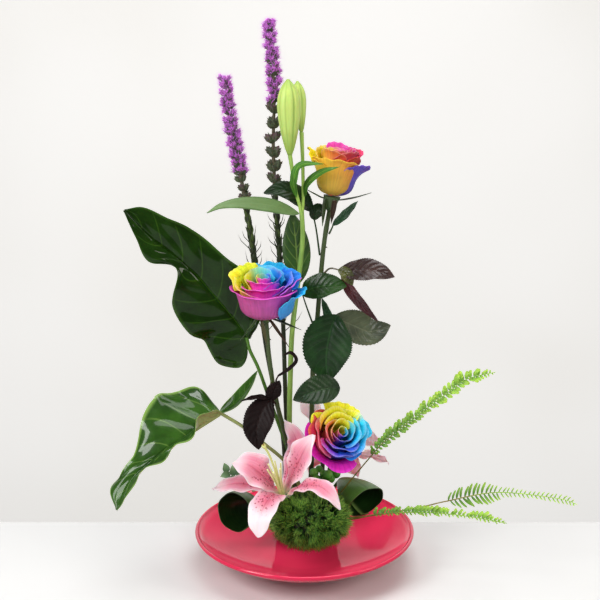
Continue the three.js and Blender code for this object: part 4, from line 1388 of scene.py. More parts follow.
@dataclass
class LilyBuds(Assembly):
    """A tall lily stem with two closed buds and four leaves."""

    route: Route
    pedicels: Sequence[Route]
    buds: dict[str, tuple[Route, float]]
    leaves: dict[str, tuple[Finish, Blade]]
    stem_radius: float = 2.5
    profile: Sequence[Point] = (
        (0, 0.2), (0.06, 0.36), (0.15, 0.52), (0.3, 0.74), (0.5, 0.94), (0.64, 1.0), (0.76, 0.94),
        (0.86, 0.74), (0.94, 0.44), (1, 0.08),
    )
    stem: Finish = LILY_GREEN
    skin: Finish = BudFinish("lily_bud_skin", Slot.LILY_BUD)

    def make(self) -> None:
        """Makes the stem, the buds and the leaves."""
        draft = Draft()
        draft.tube(Spine(self.route), lambda s: self.stem_radius * (1.12 - 0.2 * s), 18, 4, tone=0.5)
        for route in self.pedicels:
            draft.tube(Spine(route), lambda s: 1.6 + 0.5 * s**4, 14, 3, tone=0.8)
        self.show(draft, "lily_bud_stalks", self.stem, "lily_bud_stem")
        for node, (route, radius) in self.buds.items():
            self.make_bud(node, Spine(route), radius)
        for node, (finish, blade) in self.leaves.items():
            draft = Draft()
            blade.add_to(draft)
            self.show(draft, f"{node}_blade", finish, node)

    def make_bud(self, node: str, spine: Spine, radius: float) -> None:
        """Makes one bud with three seams and a rib on each of its outer petals.

        Args:
            node: the solid that it stands for.
            spine: its centre line.
            radius: its greatest radius.
        """
        known, widths = np.array(self.profile).T

        def lobes(share: Array, turn: Array) -> Array:
            """Gives the swell of the seams and ribs.

            Args:
                share: shares of the length.
                turn: turns around the bud.

            Returns:
                A factor on the radius.
            """
            fade = np.sin(np.pi * np.clip(share, 0, 1)) ** 0.5
            place = np.abs((turn * 3 / (2 * np.pi)) % 1 - 0.5)
            seam, rib = smooth(0.38, 0.5, place), np.exp(-((place / 0.1) ** 2))
            return 1 - 0.1 * fade * seam + 0.05 * fade * rib

        draft = Draft()
        share = np.linspace(0, 1, 200)
        width = np.interp(share, known, widths)
        window = np.hanning(17)
        width = np.convolve(np.pad(width, 8, mode="edge"), window / window.sum(), mode="valid")
        draft.tube(spine, lambda s: radius * np.interp(s, share, width), 72, 1.2, tone=0.6, lobes=lobes)
        self.show(draft, f"{node}_skin", self.skin, node, crisp=False)


@dataclass(frozen=True)
class Tepal:
    """One tepal of a lily: the points that it passes outside the throat, and its half-width."""

    route: Route
    half_width: float
    ripple: float = 1.6
    waves: float = 3.5
    cup: float = 0.16
    outline: Outline = Outline.TEPAL


@dataclass
class Lily(Assembly):
    """A lily flower with six tepals around its throat."""

    name: str
    throat: Point
    axis: Point
    tepals: Sequence[Tepal]
    route: Route
    stem_radius: float = 2.2
    spotted: bool = True
    papillae: int = 46
    filaments: int = 6
    seed: int = 40
    stem: Finish = LILY_GREEN
    style: Finish = StemFinish("lily_style_green", Slot.LILY_STYLE, "ecedbc", "cdd182", 0.45)

    def __post_init__(self) -> None:
        """Finds the throat, the axis and two directions across it."""
        self.centre, self.along = vector(self.throat), unit(self.axis)
        self.side = unit(np.cross(self.along, [0, 0, 1]))
        self.up = np.cross(self.side, self.along)

    def blade(self, index: int) -> Blade:
        """Gives the blade of a tepal; every other one is an inner one.

        Args:
            index: the tepal's number, from 0.

        Returns:
            The blade.
        """
        tepal = self.tepals[index]
        outward = vector(tepal.route[0]) - self.centre
        outward = unit(outward - self.along * np.dot(outward, self.along))
        near, far = ((3.2, 1.6), (7, 11)) if index % 2 == 0 else ((4.4, 0.2), (9.5, 9))
        start = [self.centre + outward * radius + self.along * rise for radius, rise in (near, far)]
        rows, columns = (72, 29) if self.spotted else (60, 25)
        return Blade(
            [*start, *tepal.route], self.axis, tepal.half_width * 1.04, outline=tepal.outline, cup=tepal.cup,
            ripple=tepal.ripple, waves=tepal.waves, curl=-1.2, rows=rows, columns=columns,
        )

    def petal(self, index: int = 1) -> Finish:
        """Gives a tepal's finish; the first one of a spotted lily is white further down.

        Args:
            index: the tepal's number, from 0.

        Returns:
            The finish.
        """
        if self.spotted and index == 0:
            return LilyFinish(f"{self.name}_front_tepal", Slot.LILY_PETAL, True, 0.42)
        white_from = 0.7 if self.spotted else -0.35
        return LilyFinish(f"{self.name}_tepals", Slot.LILY_PETAL, self.spotted, white_from)

    def make(self) -> None:
        """Makes each tepal, the stem, the stamens and the pistil."""
        for index in range(len(self.tepals)):
            draft = Draft()
            sheet = self.add_tepal(draft, index)
            if index % 2 == 0:
                self.add_papillae(draft, sheet, index)
            name, number = self.name, index + 1
            self.show(draft, f"{name}_petal_{number}", self.petal(index), f"{name}_tepal_{number}")
        draft = Draft()
        self.add_stalk(draft, 16, (3.4, -3.5), (4.4, -1.4), (4.5, -0.6), (1, -0.5))
        self.show(draft, f"{self.name}_stalk", self.stem, f"{self.name}_stem")
        draft = Draft()
        self.add_filaments(draft, ((1.5, 1.2), (2.6, 20), (7, 44)), lambda s: 1.25 - 0.5 * s, 10, 1.5, 0.4)
        self.show(draft, f"{self.name}_filaments", self.style, f"{self.name}_stamens")
        self.make_pistil()

    def add_tepal(self, draft: Draft, index: int) -> Sheet:
        """Adds a tepal.

        Args:
            draft: the mesh that it joins.
            index: its number, from 0.

        Returns:
            Its middle surface.
        """
        sheet = self.shaped(self.blade(index))
        draft.plate(sheet, 0.75 * (1 - 0.5 * np.abs(sheet.across) ** 3), index * 0.15)
        return sheet

    def add_stalk(self, draft: Draft, sides: int, *cone: Point) -> None:
        """Adds the stem and the cone under the tepals, whose upper points are given."""
        draft.tube(Spine(self.route), self.stem_radius, sides, 3)
        draft.lathe([(1.8, -7), (2.4, -6), *cone], 28, self.throat, turn_to(self.axis))

    def add_filaments(
        self, draft: Draft, reach: Route, radius: Any, sides: int, step: float, tone: float
    ) -> None:
        """Adds the pale filaments, whose anthers have been taken off, as florists do.

        Args:
            draft: the mesh that they join.
            reach: pairs of distance from the axis and height over the throat that each passes.
            radius: radius of each.
            sides: flats around each.
            step: length of one ring.
            tone: their painted tone.
        """
        for index in range(self.filaments):
            turn = 2 * math.pi * (index + 0.25) / self.filaments
            out = self.side * math.cos(turn) + self.up * math.sin(turn)
            route = [self.centre + self.along * rise + out * away for away, rise in reach]
            draft.tube(Spine(route), radius, sides, step, tone)

    @staticmethod
    def shaped(blade: Blade) -> Sheet:
        """Gives a tepal's surface, with a raised pleat along its middle and a soft grain.

        Args:
            blade: the tepal's blade.

        Returns:
            Its middle surface.
        """
        sheet = blade.sheet()
        along, across = sheet.along, sheet.across
        middle = np.exp(-((across / 0.1) ** 2))
        pleat = 0.9 * middle * smooth(0.05, 0.3, along) * (1 - smooth(0.7, 0.95, along))
        grooves = 0.12 * np.sin(across * 34 + 2 * along) * smooth(0.1, 0.3, along) * (1 - np.abs(across))
        return sheet.lift(-pleat + grooves)

    def add_papillae(self, draft: Draft, sheet: Sheet, index: int) -> None:
        """Adds small raised spots to the lower half of a tepal.

        Args:
            draft: the tepal's mesh.
            sheet: its middle surface.
            index: its number, from 0.
        """
        rng = np.random.default_rng(self.seed + index)
        rows, columns = sheet.along.shape
        row = rng.integers(int(rows * 0.14), int(rows * 0.5), self.papillae)
        column = rng.normal(columns / 2, columns * 0.17, self.papillae).astype(int)
        column = np.clip(column, 3, columns - 4)
        roots, normal = sheet.points[row, column], sheet.normals()[row, column]
        draft.needles(roots + normal * 0.2, roots + normal * 0.95, 0.42, normal * 0, 0.5)

    def make_pistil(self) -> None:
        """Makes the style, with its three-lobed brown tip."""
        draft = Draft()
        path = ((-0.2, 0), (30, 0), (58, -1), (74, -4))
        spine = Spine([self.centre + self.along * rise + vector((shift, 0, 0)) for rise, shift in path])

        def width(share: Array) -> Array:
            """Gives the style's radius, which swells under its rounded tip."""
            return 0.9 + 0.25 * share + 0.9 * smooth(0.93, 0.975, share) * (1 - 0.5 * smooth(0.98, 1, share))

        def lobes(share: Array, turn: Array) -> Array:
            """Gives the swell of the three lobes of its tip."""
            return 1 + 0.16 * np.cos(3 * turn) * smooth(0.92, 0.96, share)

        draft.tube(spine, width, 18, 1, tone=0.1, lobes=lobes)
        tip = spine.at(np.array([0.985]))
        draft.needles(tip, tip + self.along * 3, 1.5, tip * 0, 0, (0.5, 0.28, 0.16))
        self.show(draft, f"{self.name}_style", self.style, f"{self.name}_pistil")


@dataclass
class BackLily(Lily):
    """A lily that looks away behind the roses, which is one solid."""

    def make(self) -> None:
        """Makes the whole flower as one piece."""
        draft = Draft()
        for index in range(len(self.tepals)):
            self.add_tepal(draft, index)
        self.add_stalk(draft, 14, (3.6, -3.5), (4.8, -1.0), (4.8, 2.4), (1, 3))
        self.add_filaments(draft, ((1.5, 2), (2.6, 20), (8, 40)), 0.6, 8, 2, 0.0)
        self.show(draft, f"{self.name}_flower", self.petal(), "back_lily")


# ---------- Large leaves ----------


@dataclass(frozen=True)
class Half:
    """One side of a heart-shaped leaf: its edge, as length along and distance from the midrib."""

    edge: Route
    fold: tuple[float, float]


@dataclass
class Anthurium(Assembly):
    """A large heart-shaped leaf on a long stalk."""

    node: str
    stalk: Route
    midrib: Route
    facing: Point
    facing_end: Point
    halves: tuple[Half, Half]
    finish: Finish
    flap: Blade | None = None
    stalk_radius: float = 1.7
    rows: int = 110
    columns: int = 51
    thickness: float = 0.8
    veins: Veins = Veins(7, 0.2, 0.9)
    curl: float = -1.5
    ripple: float = 2.5
    waves: float = 5.0

    def sheet(self) -> Sheet:
        """Lays the grid of the leaf between its midrib and its two edges.

        Returns:
            The middle surface.
        """
        spine = Spine(self.midrib)
        edges = [Spine([(a, b, 0) for a, b in half.edge]) for half in self.halves]
        step, across = grid(self.rows, self.columns)
        share, first = np.abs(across), across < 0
        edge = np.where(first[..., None], edges[0].knot(step), edges[1].knot(step))
        ahead = 0.995 * spine.length * step**2 * (1 - share) + edge[..., 0] * share
        reach = share * np.maximum(edge[..., 1], 0.4)
        along = np.clip(ahead / spine.length, 0, 1)
        beyond = ahead - along * spine.length
        tangent = spine.tangent(along)
        start, end = vector(self.facing), vector(self.facing_end)
        side = unit(np.cross(start + (end - start) * along[..., None], tangent))
        normal = np.cross(tangent, side)
        blend = smooth(0.1, 0.5, along)
        folds = [half.fold[0] + (half.fold[1] - half.fold[0]) * blend for half in self.halves]
        angle = np.where(first, folds[0], folds[1])
        points = (
            spine.at(along) + tangent * beyond[..., None]
            - side * (np.sign(across) * reach * np.cos(angle))[..., None]
            + normal * (reach * np.sin(angle))[..., None]
        )
        sheet = Sheet(points, along, across)
        swell = self.veins.height(step, across) + self.curl * share**6 - 0.7 * np.exp(-((share / 0.03) ** 2))
        wave = np.sin(2 * np.pi * self.waves * step + 2 * across) + 0.5 * np.sin(23 * step - 3 * across)
        ripple = self.ripple * share**2 * wave * smooth(0, 0.1, step) * (1 - smooth(0.9, 1, step))
        return sheet.lift(swell + ripple)

    def make(self) -> None:
        """Makes the leaf and its stalk as one piece."""
        draft = Draft()
        sheet = self.sheet()
        draft.plate(sheet, self.thickness * (1 - 0.4 * np.abs(sheet.across) ** 6), 0.5)
        draft.tube(Spine(self.stalk), lambda s: self.stalk_radius * (1.1 - 0.1 * s), 14, 4, tone=0.2)
        if self.flap is not None:
            self.flap.add_to(draft)
        self.show(draft, f"{self.node}_heart", self.finish, self.node)


@dataclass
class RolledLeaf(Assembly):
    """A leaf rolled into a cone that opens towards its mouth."""

    node: str
    stalk: Route
    mouth: Point
    radii: Point
    open_at: float
    wrap: float = 2.85
    thickness: float = 0.8
    rows: int = 32
    columns: int = 80
    finish: Finish = LeafFinish(
        "rolled_leaf_green", Slot.ROLLED_LEAF, "17300f", "0d200a", "4a6c2a", "284618",
        Veins(9, 0.15, 0), 0.35, 0.03, edge="7f9c52", roughness=0.34, coat=0.25,
    )

    def make(self) -> None:
        """Makes the rolled leaf and its stalk."""
        start = vector(self.stalk[-1])
        axis = vector(self.mouth) - start
        along = unit(axis)
        side = unit(np.cross(along, [0, 0, 1]))
        up = np.cross(side, along)
        share, across = grid(self.rows, self.columns, -1)
        turn = self.open_at + self.wrap * across
        growth = 0.12 + 0.88 * np.sin(0.5 * np.pi * share) ** 0.8 + 0.02 * np.sin(6 * turn) * share**2
        tuck = 1 - 0.1 * smooth(0.3, 1.0, across)
        points = (
            start + axis * (share + 0.04 * np.cos(turn - self.open_at) * share**3)[..., None]
            + side * (self.radii[0] * growth * tuck * np.cos(turn))[..., None]
            + up * (self.radii[1] * growth * tuck * np.sin(turn))[..., None]
        )
        draft = Draft()
        draft.plate(Sheet(points[:, ::-1], share, across[:, ::-1]), self.thickness, 0.4)
        draft.tube(Spine([*self.stalk, start + along * 5]), lambda s: 2 - 0.4 * s, 12, 3)
        self.show(draft, f"{self.node}_cone", self.finish, self.node)


# ---------- Dianthus ball, berries, ferns, sprig and liatris ----------


@dataclass
class DianthusBall(Assembly):
    """A mossy green dianthus head: hundreds of tufts of fine needles on a dark core; the near-black core and
    needle feet are painted shade deep in the ball.
    """

    centre: Point = (5, -46, 66)
    radii: Point = (41, 32, 31)
    stalk: Sequence[Point] = ((9, 4, 38), (8, -8, 46), (6, -26, 58))
    tufts: int = 250
    tuft_needles: int = 46
    needle: float = 12.5
    core_rings: int = 28
    gap: float = 1.5
    seed: int = 5
    beside: Sequence[str] = (
        "open_lily_tepal_1", "open_lily_tepal_2", "open_lily_tepal_5", "right_rolled_leaf",
        "left_rolled_leaf", "bowl", "lower_rose_outer_petal_1",
    )
    # The needles' near-black foot colour, which the core takes too, is painted shade among the needles.
    finish: Finish = Bristle("dianthus_needles", Slot.DIANTHUS, "081804", "234f0e", "96c244", "42801e", 0.55)

    def make(self) -> None:
        """Makes the core, the stalk and the needles as one piece."""
        rng = np.random.default_rng(self.seed)
        radii, centre = vector(self.radii), vector(self.centre)
        draft = Draft()
        height = np.linspace(-1, 1, self.core_rings + 2)[1:-1, None]
        rings = polar(turns(48), (1 - height * height) ** 0.5, height)
        rings = rings * (1 + 0.04 * rng.standard_normal(rings.shape[:2]))[..., None]
        # The core takes the near-black foot colour, as painted shade deep in the ball.
        draft.skin(centre + rings * (radii - self.needle * 0.8), np.zeros(self.core_rings))
        draft.tube(Spine(self.stalk), 2, 10, 3)
        roots, tips, tone = self._needles(rng, centre, radii)
        keep = self._clear(roots, tips)
        roots, tips, tone = roots[keep], tips[keep], tone[keep]
        bow = rng.normal(0, 0.9, roots.shape)
        draft.needles(roots, tips, rng.uniform(0.32, 0.5, len(roots)), bow, tone)
        self.show(draft, "dianthus_head", self.finish, "dianthus_ball", crisp=False)

    def _needles(self, rng: np.random.Generator, centre: Array, radii: Array) -> tuple[Array, Array, Array]:
        """Gives the foot, the tip and the tone of every needle.

        Args:
            rng: the random draws.
            centre: centre of the ball.
            radii: half of its size on each axis.

        Returns:
            The feet, the tips and the tones.
        """
        index = np.arange(self.tufts) + 0.5
        height = 1 - 2 * index / self.tufts
        ball = polar(GOLDEN_TURN * index, np.sqrt(1 - height**2), height)
        ball = unit(ball + rng.normal(0, 0.05, ball.shape))
        count = self.tufts * self.tuft_needles
        owner = np.repeat(np.arange(self.tufts), self.tuft_needles)
        normal = unit(ball / radii)[owner]
        lean = rng.normal(0, 0.28, (self.tufts, 3))[owner] + rng.normal(0, 0.3, (count, 3))
        direction = unit(normal + lean)
        direction = np.where(np.sum(direction * normal, axis=1, keepdims=True) < 0.25, normal, direction)
        reach = rng.uniform(0.7, 1.12, count) * rng.uniform(0.85, 1.12, self.tufts)[owner]
        roots = centre + ball[owner] * (radii - self.needle * 0.85) + rng.normal(0, 0.7, (count, 3))
        tips = roots + direction * (self.needle * reach)[:, None]
        tone = np.clip(0.35 * rng.random(self.tufts)[owner] + 0.65 * rng.random(count), 0, 1)
        return roots, tips, tone

    def _clear(self, roots: Array, tips: Array) -> Array:
        """Tells which needles keep off the solids beside the ball.

        Args:
            roots: foot of each needle.
            tips: tip of each needle.

        Returns:
            True for each needle that is clear.
        """
        trees = []
        for node in self.beside:
            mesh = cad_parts[node].data
            corners, faces = [v.co for v in mesh.vertices], [tuple(p.vertices) for p in mesh.polygons]
            trees.append(BVHTree.FromPolygons(corners, faces))
        keep = np.ones(len(roots), bool)
        for index, (root, tip) in enumerate(zip(roots * MM, tips * MM)):
            start = Vector(root)
            way = Vector(tip) - start
            length = way.length + self.gap * MM
            keep[index] = all(tree.ray_cast(start, way.normalized(), length)[0] is None for tree in trees)
        return keep


@dataclass
class Berries(Assembly):
    """A bunch of round green berries on forked twigs."""

    stalk: Sequence[Point] = ((12, 7, 30), (13, 2, 62), (17, -5, 84), (19, -7, 94))
    fork: Point = (18, -6, 88)
    places: Sequence[Point] = (
        (19, -8, 97), (12, -10, 92), (26, -10, 92), (22, -3, 90), (14.4, -2.2, 99.4), (27.2, -6, 101),
        (17.6, -12.2, 88.3), (9.5, -4.5, 96.5), (23.2, -13.4, 97.6), (31, -4, 95),
    )
    radius: float = 4.9
    seed: int = 3
    # Each berry runs from the darker foot colour at its lower end to the lighter tip colour at its upper end.
    finish: Finish = Bristle("green_berries", Slot.BERRY, "2c5a1c", "4a8f2c", "7db548", "64a038", 0.35)

    def make(self) -> None:
        """Makes the berries and their twigs as one piece."""
        draft = Draft()
        draft.tube(Spine(self.stalk), 1.3, 10, 3)
        rng = np.random.default_rng(self.seed)
        for place in self.places:
            end = vector(place)
            draft.tube(Spine([self.fork, (end + self.fork) / 2, end]), 0.8, 8, 2)
            size = self.radius * rng.uniform(0.72, 1.05)
            angles = np.linspace(0.06, 0.94, 15) * np.pi
            profile = [(size * math.sin(a), -size * math.cos(a)) for a in angles]
            profile += [(size * 0.2, size * 1.06), (size * 0.1, size * 1.2)]
            draft.lathe(
                profile, 24, end, turn_to(rng.normal(0, 0.5, 3) + [0.1, -0.6, 0.8]), float(rng.random()),
                lambda azimuth, z: 1 + 0.03 * np.cos(5 * azimuth),
            )
        self.show(draft, "green_berry_bunch", self.finish, "berries")


@dataclass
class Fern(Assembly):
    """A fern frond: a thin brown stalk, then two rows of leaflets along the rest.

    sizes are pairs of a share of the leafy part and the size of its leaflets there.
    """

    node: str
    route: Route
    bare: float
    facing: Point
    leaflet: float
    pairs: int
    curl: float
    sizes: Route
    lower_share: float = 1.0
    width: float = 0.36
    lean: float = 0.5
    crinkle: float = 0.35
    wild: float = 0.1
    seed: int = 2
    finish: Finish = Bristle("fern_green", Slot.FERN, "588426", "88b434", "bcdc4c", "a8cc3e", 0.5, 0.2)

    def make(self) -> None:
        """Makes the frond as one piece."""
        rng = np.random.default_rng(self.seed)
        draft = Draft()
        spine = Spine(self.route)
        brown, green = np.array([0.75, 0.33, 0.6]), np.array([0.8, 0.9, 0.7])

        def stalk_tint(share: Array) -> Array:
            """Gives the stalk's colour, which turns green among the leaflets."""
            return brown + (green - brown) * smooth(self.bare, self.bare + 0.25, share)[:, None]

        draft.tube(spine, lambda s: 0.85 - 0.5 * s, 8, 3, tone=0.1, tint=stalk_tint)
        known, sizes = np.array(self.sizes).T
        for pair in range(self.pairs):
            share = (pair + 0.5) / self.pairs
            along = self.bare + (0.99 - self.bare) * share
            size = self.leaflet * np.interp(share, known, sizes)
            for sign, smaller in ((-1.0, 1.0), (1.0, self.lower_share)):
                length = size * rng.uniform(1 - self.wild, 1 + self.wild) * smaller
                self._leaflet(draft, spine, min(along + 0.004 * sign, 0.995), sign, length, share, rng)
        self.show(draft, f"{self.node}_frond", self.finish, self.node)

    def _leaflet(
        self, draft: Draft, spine: Spine, along: float, sign: float, length: float, share: float,
        rng: np.random.Generator,
    ) -> None:
        """Adds one leaflet beside the stalk.

        Args:
            draft: the mesh that it joins.
            spine: the stalk's centre line.
            along: where it sits on the stalk.
            sign: the side that it grows to, -1 or 1.
            length: its length.
            share: how far along the leafy part it is.
            rng: the random draws.
        """
        place, tangent = spine.at(along), spine.tangent(along)
        side = unit(np.cross(tangent, self.facing)) * sign
        upper = unit(np.cross(side, tangent)) * sign
        droop = self.curl * rng.uniform(-0.4, 1.2)
        reach = unit(side + tangent * self.lean * rng.uniform(0.8, 1.2) + rng.normal(0, self.wild, 3))
        shade = 0.38 + 0.62 * float(smooth(0.05, 0.75, share))
        fall = upper * droop * length
        tip = place + reach * length + tangent * length * 0.12 + fall * rng.uniform(0.4, 0.8)
        Blade(
            [place, place + reach * length * 0.5 + fall * 0.25, tip],
            upper + side * droop * 0.5, max(0.6, length * self.width * 0.5), outline=Outline.STRAP,
            ripple=self.crinkle, waves=1.6, cup=0.15, rows=13, columns=5, thickness=0.4,
            tone=float(np.clip(share + rng.normal(0, 0.12), 0, 1)), tint=(shade, 0.2 + 0.8 * shade, shade),
        ).add_to(draft)


@dataclass
class Sprig(Assembly):
    """A short pale green sprig behind the left rolled leaf."""

    route: Sequence[Point] = ((-17, 15, 36), (-25, 24, 58), (-40, 34, 66), (-59, 36, 69), (-81, 40, 79))
    bare: float = 0.42
    leaflets: int = 14
    seed: int = 8
    finish: Finish = Bristle("sprig_green", Slot.FERN, "3f6040", "64865c", "94b088", "7c9c70", 0.6, 0.15)

    def make(self) -> None:
        """Makes the sprig as one piece."""
        rng = np.random.default_rng(self.seed)
        draft = Draft()
        spine = Spine(self.route)
        draft.tube(spine, lambda s: 1.0 - 0.5 * s, 8, 3, tone=0.2)
        for index in range(self.leaflets):
            along = self.bare + 0.56 * index / (self.leaflets - 1)
            place, tangent = spine.at(along), spine.tangent(along)
            sign = 1 if index % 2 else -1
            side = unit(np.cross(tangent, [0, -1, 0.3])) * sign
            tip = place + unit(side + tangent * 0.9 + rng.normal(0, 0.2, 3)) * rng.uniform(9, 14)
            Blade(
                [place, (place + tip) / 2 + [0, 0, 0.8], tip], [0, -0.9, 0.4], 3.8, outline=Outline.LANCE,
                cup=0.2, rows=19, columns=9, thickness=0.45, tone=float(rng.random()),
            ).add_to(draft)
        self.show(draft, "green_sprig", self.finish, "sprig")


@dataclass
class Liatris(Assembly):
    """A liatris: a scaly stem with needle leaves, closed buds, and open tufts above them.

    closed gives the shares of the spike where clusters of closed buds sit.
    """

    side: str
    route: Route
    spike: Route
    closed: Sequence[float]
    open_from: float
    open_turns: int
    bud: float
    seed: int
    scales_from: float
    needle_zone: tuple[float, float]
    radius: float = 2.2
    scale_step: float = 2.4
    leaves: int = 34
    cluster: int = 5
    florets: int = 4
    bracts: int = 14
    lobes: int = 78
    styles: int = 24
    bark: Finish = StemFinish("liatris_stem_green", Slot.LIATRIS_STEM, "42521f", "222c14", 0.6)
    bloom: Finish = PetalFinish("liatris_bloom", Slot.LIATRIS, 0.65, 0.1, 0.2)

    def make(self) -> None:
        """Makes the stem with its scales and leaves, then the spike."""
        self.make_stem()
        self.make_spike()

    def make_stem(self) -> None:
        """Makes the stem, its pressed scales and its long needle leaves."""
        rng = np.random.default_rng(self.seed)
        spine = Spine(self.route)
        draft = Draft()
        draft.tube(spine, self.radius, 12, 4)
        count = int(spine.length * (1 - self.scales_from) / self.scale_step)
        for index in range(count):
            along = self.scales_from + (1 - self.scales_from) * (index + 0.5) / count
            self._scale(draft, spine, along, GOLDEN_TURN * index, rng)
        leaves = self.leaves
        along = np.linspace(*self.needle_zone, leaves) + rng.uniform(-0.01, 0.01, leaves)
        out = polar(GOLDEN_TURN * np.arange(leaves) + rng.uniform(-0.3, 0.3, leaves))
        roots = spine.at(along) + out * self.radius * 0.6
        length = rng.uniform(14, 30, leaves)[:, None]
        tips = roots + out * length * rng.uniform(0.35, 0.75, (leaves, 1)) + [0, 0, 1] * length * 0.75
        draft.needles(roots, tips, 0.55, out * length * 0.12, rng.random(leaves), (0.4, 0.4, 0.4))
        self.show(draft, f"{self.side}_liatris_stalk", self.bark, f"{self.side}_liatris_stem")

    def _scale(
        self, draft: Draft, spine: Spine, along: float, azimuth: float, rng: np.random.Generator
    ) -> None:
        """Adds one pointed scale, whose tip stands off the stem.

        Args:
            draft: the mesh that it joins.
            spine: the stem's centre line.
            along: where it sits on the stem.
            azimuth: the way that it faces.
            rng: the random draws.
        """
        place, tangent, out = spine.at(along), spine.tangent(along), polar(azimuth)
        start, length = place + out * self.radius * 0.6, rng.uniform(8, 12)
        tip = start + tangent * length + out * rng.uniform(0.8, 3.2)
        Blade(
            [start, start + tangent * length * 0.5 + out * 1.9, tip], out, 1.8, outline=Outline.LANCE,
            cup=-0.55, rows=9, columns=5, thickness=0.7, tone=float(rng.random()), tint=(0.85, 0.9, 0.7)
        ).add_to(draft)

    def make_spike(self) -> None:
        """Makes the spike: spaced clusters of closed buds low down, crowded open tufts above."""
        rng = np.random.default_rng(self.seed + 50)  # other draws than the stem's
        spine = Spine(self.spike)
        draft = Draft()
        draft.tube(spine, lambda s: 1.9 - 0.9 * s, 12, 3, tint=rgb("4a4226"))
        for index, share in enumerate(self.closed):
            for bud in range(self.cluster):
                turn = 0.4 * math.pi * bud + 0.9 * index + rng.uniform(-0.2, 0.2)
                along = share + rng.uniform(-0.012, 0.012)
                place, axis = self._aim(spine, along, turn, rng.uniform(0.35, 0.75))
                self._bud(draft, place, axis, self.bud * rng.uniform(0.8, 1.1), rng)
        for index in range(self.open_turns):
            share = self.open_from + (0.99 - self.open_from) * (index + 0.5) / self.open_turns
            for floret in range(self.florets):
                turn = 0.5 * math.pi * floret + 0.8 * index + rng.uniform(-0.25, 0.25)
                along = min(share + rng.uniform(-0.25, 0.25) / self.open_turns, 0.995)
                place, axis = self._aim(spine, along, turn, 0.7)
                size = 1 - 0.25 * share**3
                self._bud(draft, place, axis, 0.98 * size, rng)
                self._tuft(draft, place + axis * 6.0 * size, axis, size, rng)
        self.show(draft, f"{self.side}_liatris_flowers", self.bloom, f"{self.side}_liatris_spike")

    @staticmethod
    def _aim(spine: Spine, share: float, turn: float, spread: float) -> tuple[Array, Array]:
        """Gives where a bud sits on the spike and the way that it points."""
        out = polar(turn)
        return spine.at(share) + out, unit(out * spread + spine.tangent(share) * 0.8)

    def _bud(self, draft: Draft, place: Array, axis: Array, size: float, rng: np.random.Generator) -> None:
        """Adds one scaly bud with a green foot and a darker, often purple tip.

        Args:
            draft: the mesh that it joins.
            place: its foot.
            axis: the way that it points.
            size: factor on its size.
            rng: the random draws.
        """
        foot, tip = rgb("3c4a20"), rgb("4c2838" if rng.random() < 0.45 else "2c3418")
        profile = ((0.5, 0), (1.7, 1.2), (2.4, 3.0), (2.4, 4.6), (1.8, 6.4), (0.9, 7.8), (0.2, 8.8))
        known = np.array(profile) * size
        azimuth = turns(10)
        rings = polar(azimuth, known[:, :1] * (1 + 0.12 * np.cos(5 * azimuth)), known[:, 1:])
        turn = turn_to(axis).T
        share = np.linspace(0, 1, len(known))
        tints = foot + (tip - foot) * smooth(0.3, 1.0, share)[:, None]
        draft.skin(rings @ turn + place, share, float(rng.random()), tints)
        count = self.bracts
        out = polar(GOLDEN_TURN * np.arange(count))
        level = np.linspace(1.4, 6.0, count) * size
        reach = np.interp(level, known[:, 1], known[:, 0])
        roots = out * reach[:, None] * 0.8 + np.array([0, 0, 1.0]) * level[:, None]
        tips = roots + out * 0.9 * size + np.array([0, 0, 2.6]) * size
        shade = np.where(rng.random((count, 1)) < 0.5, foot, tip) * rng.uniform(0.7, 1.5, (count, 1))
        draft.needles(roots @ turn + place, tips @ turn + place, 0.6 * size, out * 0, level * 0.1, shade)

    def _tuft(self, draft: Draft, place: Array, axis: Array, size: float, rng: np.random.Generator) -> None:
        """Adds the lobes and the long thin styles of one open floret.

        Args:
            draft: the mesh that it joins.
            place: its foot.
            axis: the way that it points.
            size: factor on its size.
            rng: the random draws.
        """
        count = self.lobes
        spread = unit(axis + rng.normal(0, 0.5, (count, 3)))
        length = rng.uniform(2.6, 6.4, count) * size
        length[: self.styles] += 2.8
        roots = place - axis * 1.5 + rng.normal(0, 0.6, (count, 3))
        width = np.where(np.arange(count) < self.styles, 0.2, 0.46)
        share = rng.random((count, 1)) ** 0.8
        tints = rgb("a446b0") * (1 - share) + rgb("f692fc") * share
        draft.needles(roots, roots + spread * length[:, None], width, spread * 0.3, rng.random(count), tints)


# ---------- The arrangement's plants ----------

ROSE_VEINS = Veins(8, 0.26, 0.75, 0.08)
DARK_LEAF = LeafFinish(
    "rose_leaf_green", Slot.ROSE_LEAF, "1c3616", "0c1e0a", "2f4227", "2e5026", ROSE_VEINS, 0.3, 0.05,
    roughness=0.36, coat=0.08,
)
BRONZE_LEAF = LeafFinish(
    "rose_leaf_bronze", Slot.BRONZE_LEAF, "48342f", "291b1b", "4c4a30", "6a5450", ROSE_VEINS, 0.3, 0.05,
    roughness=0.33, coat=0.3,
)
MAROON_LEAF = LeafFinish(
    "rose_leaf_maroon", Slot.BRONZE_LEAF, "1c1010", "100808", "33211e", "301c1a", ROSE_VEINS, 0.25, 0.05,
    roughness=0.5, coat=0.0, shine=0.12,
)


def leaflet(
    spine: Route, facing: Point, half_width: float, outline: Outline = Outline.OVAL, **more: Any
) -> Blade:
    """Gives a rose leaflet, which has fine teeth, a shallow fold and swells between its veins."""
    usual = dict(fold=0.12, cup=0.06, teeth=26, veins=ROSE_VEINS, ripple=0.5, rows=105, columns=21)
    return Blade(spine, facing, half_width, outline=outline, **{**usual, **more})


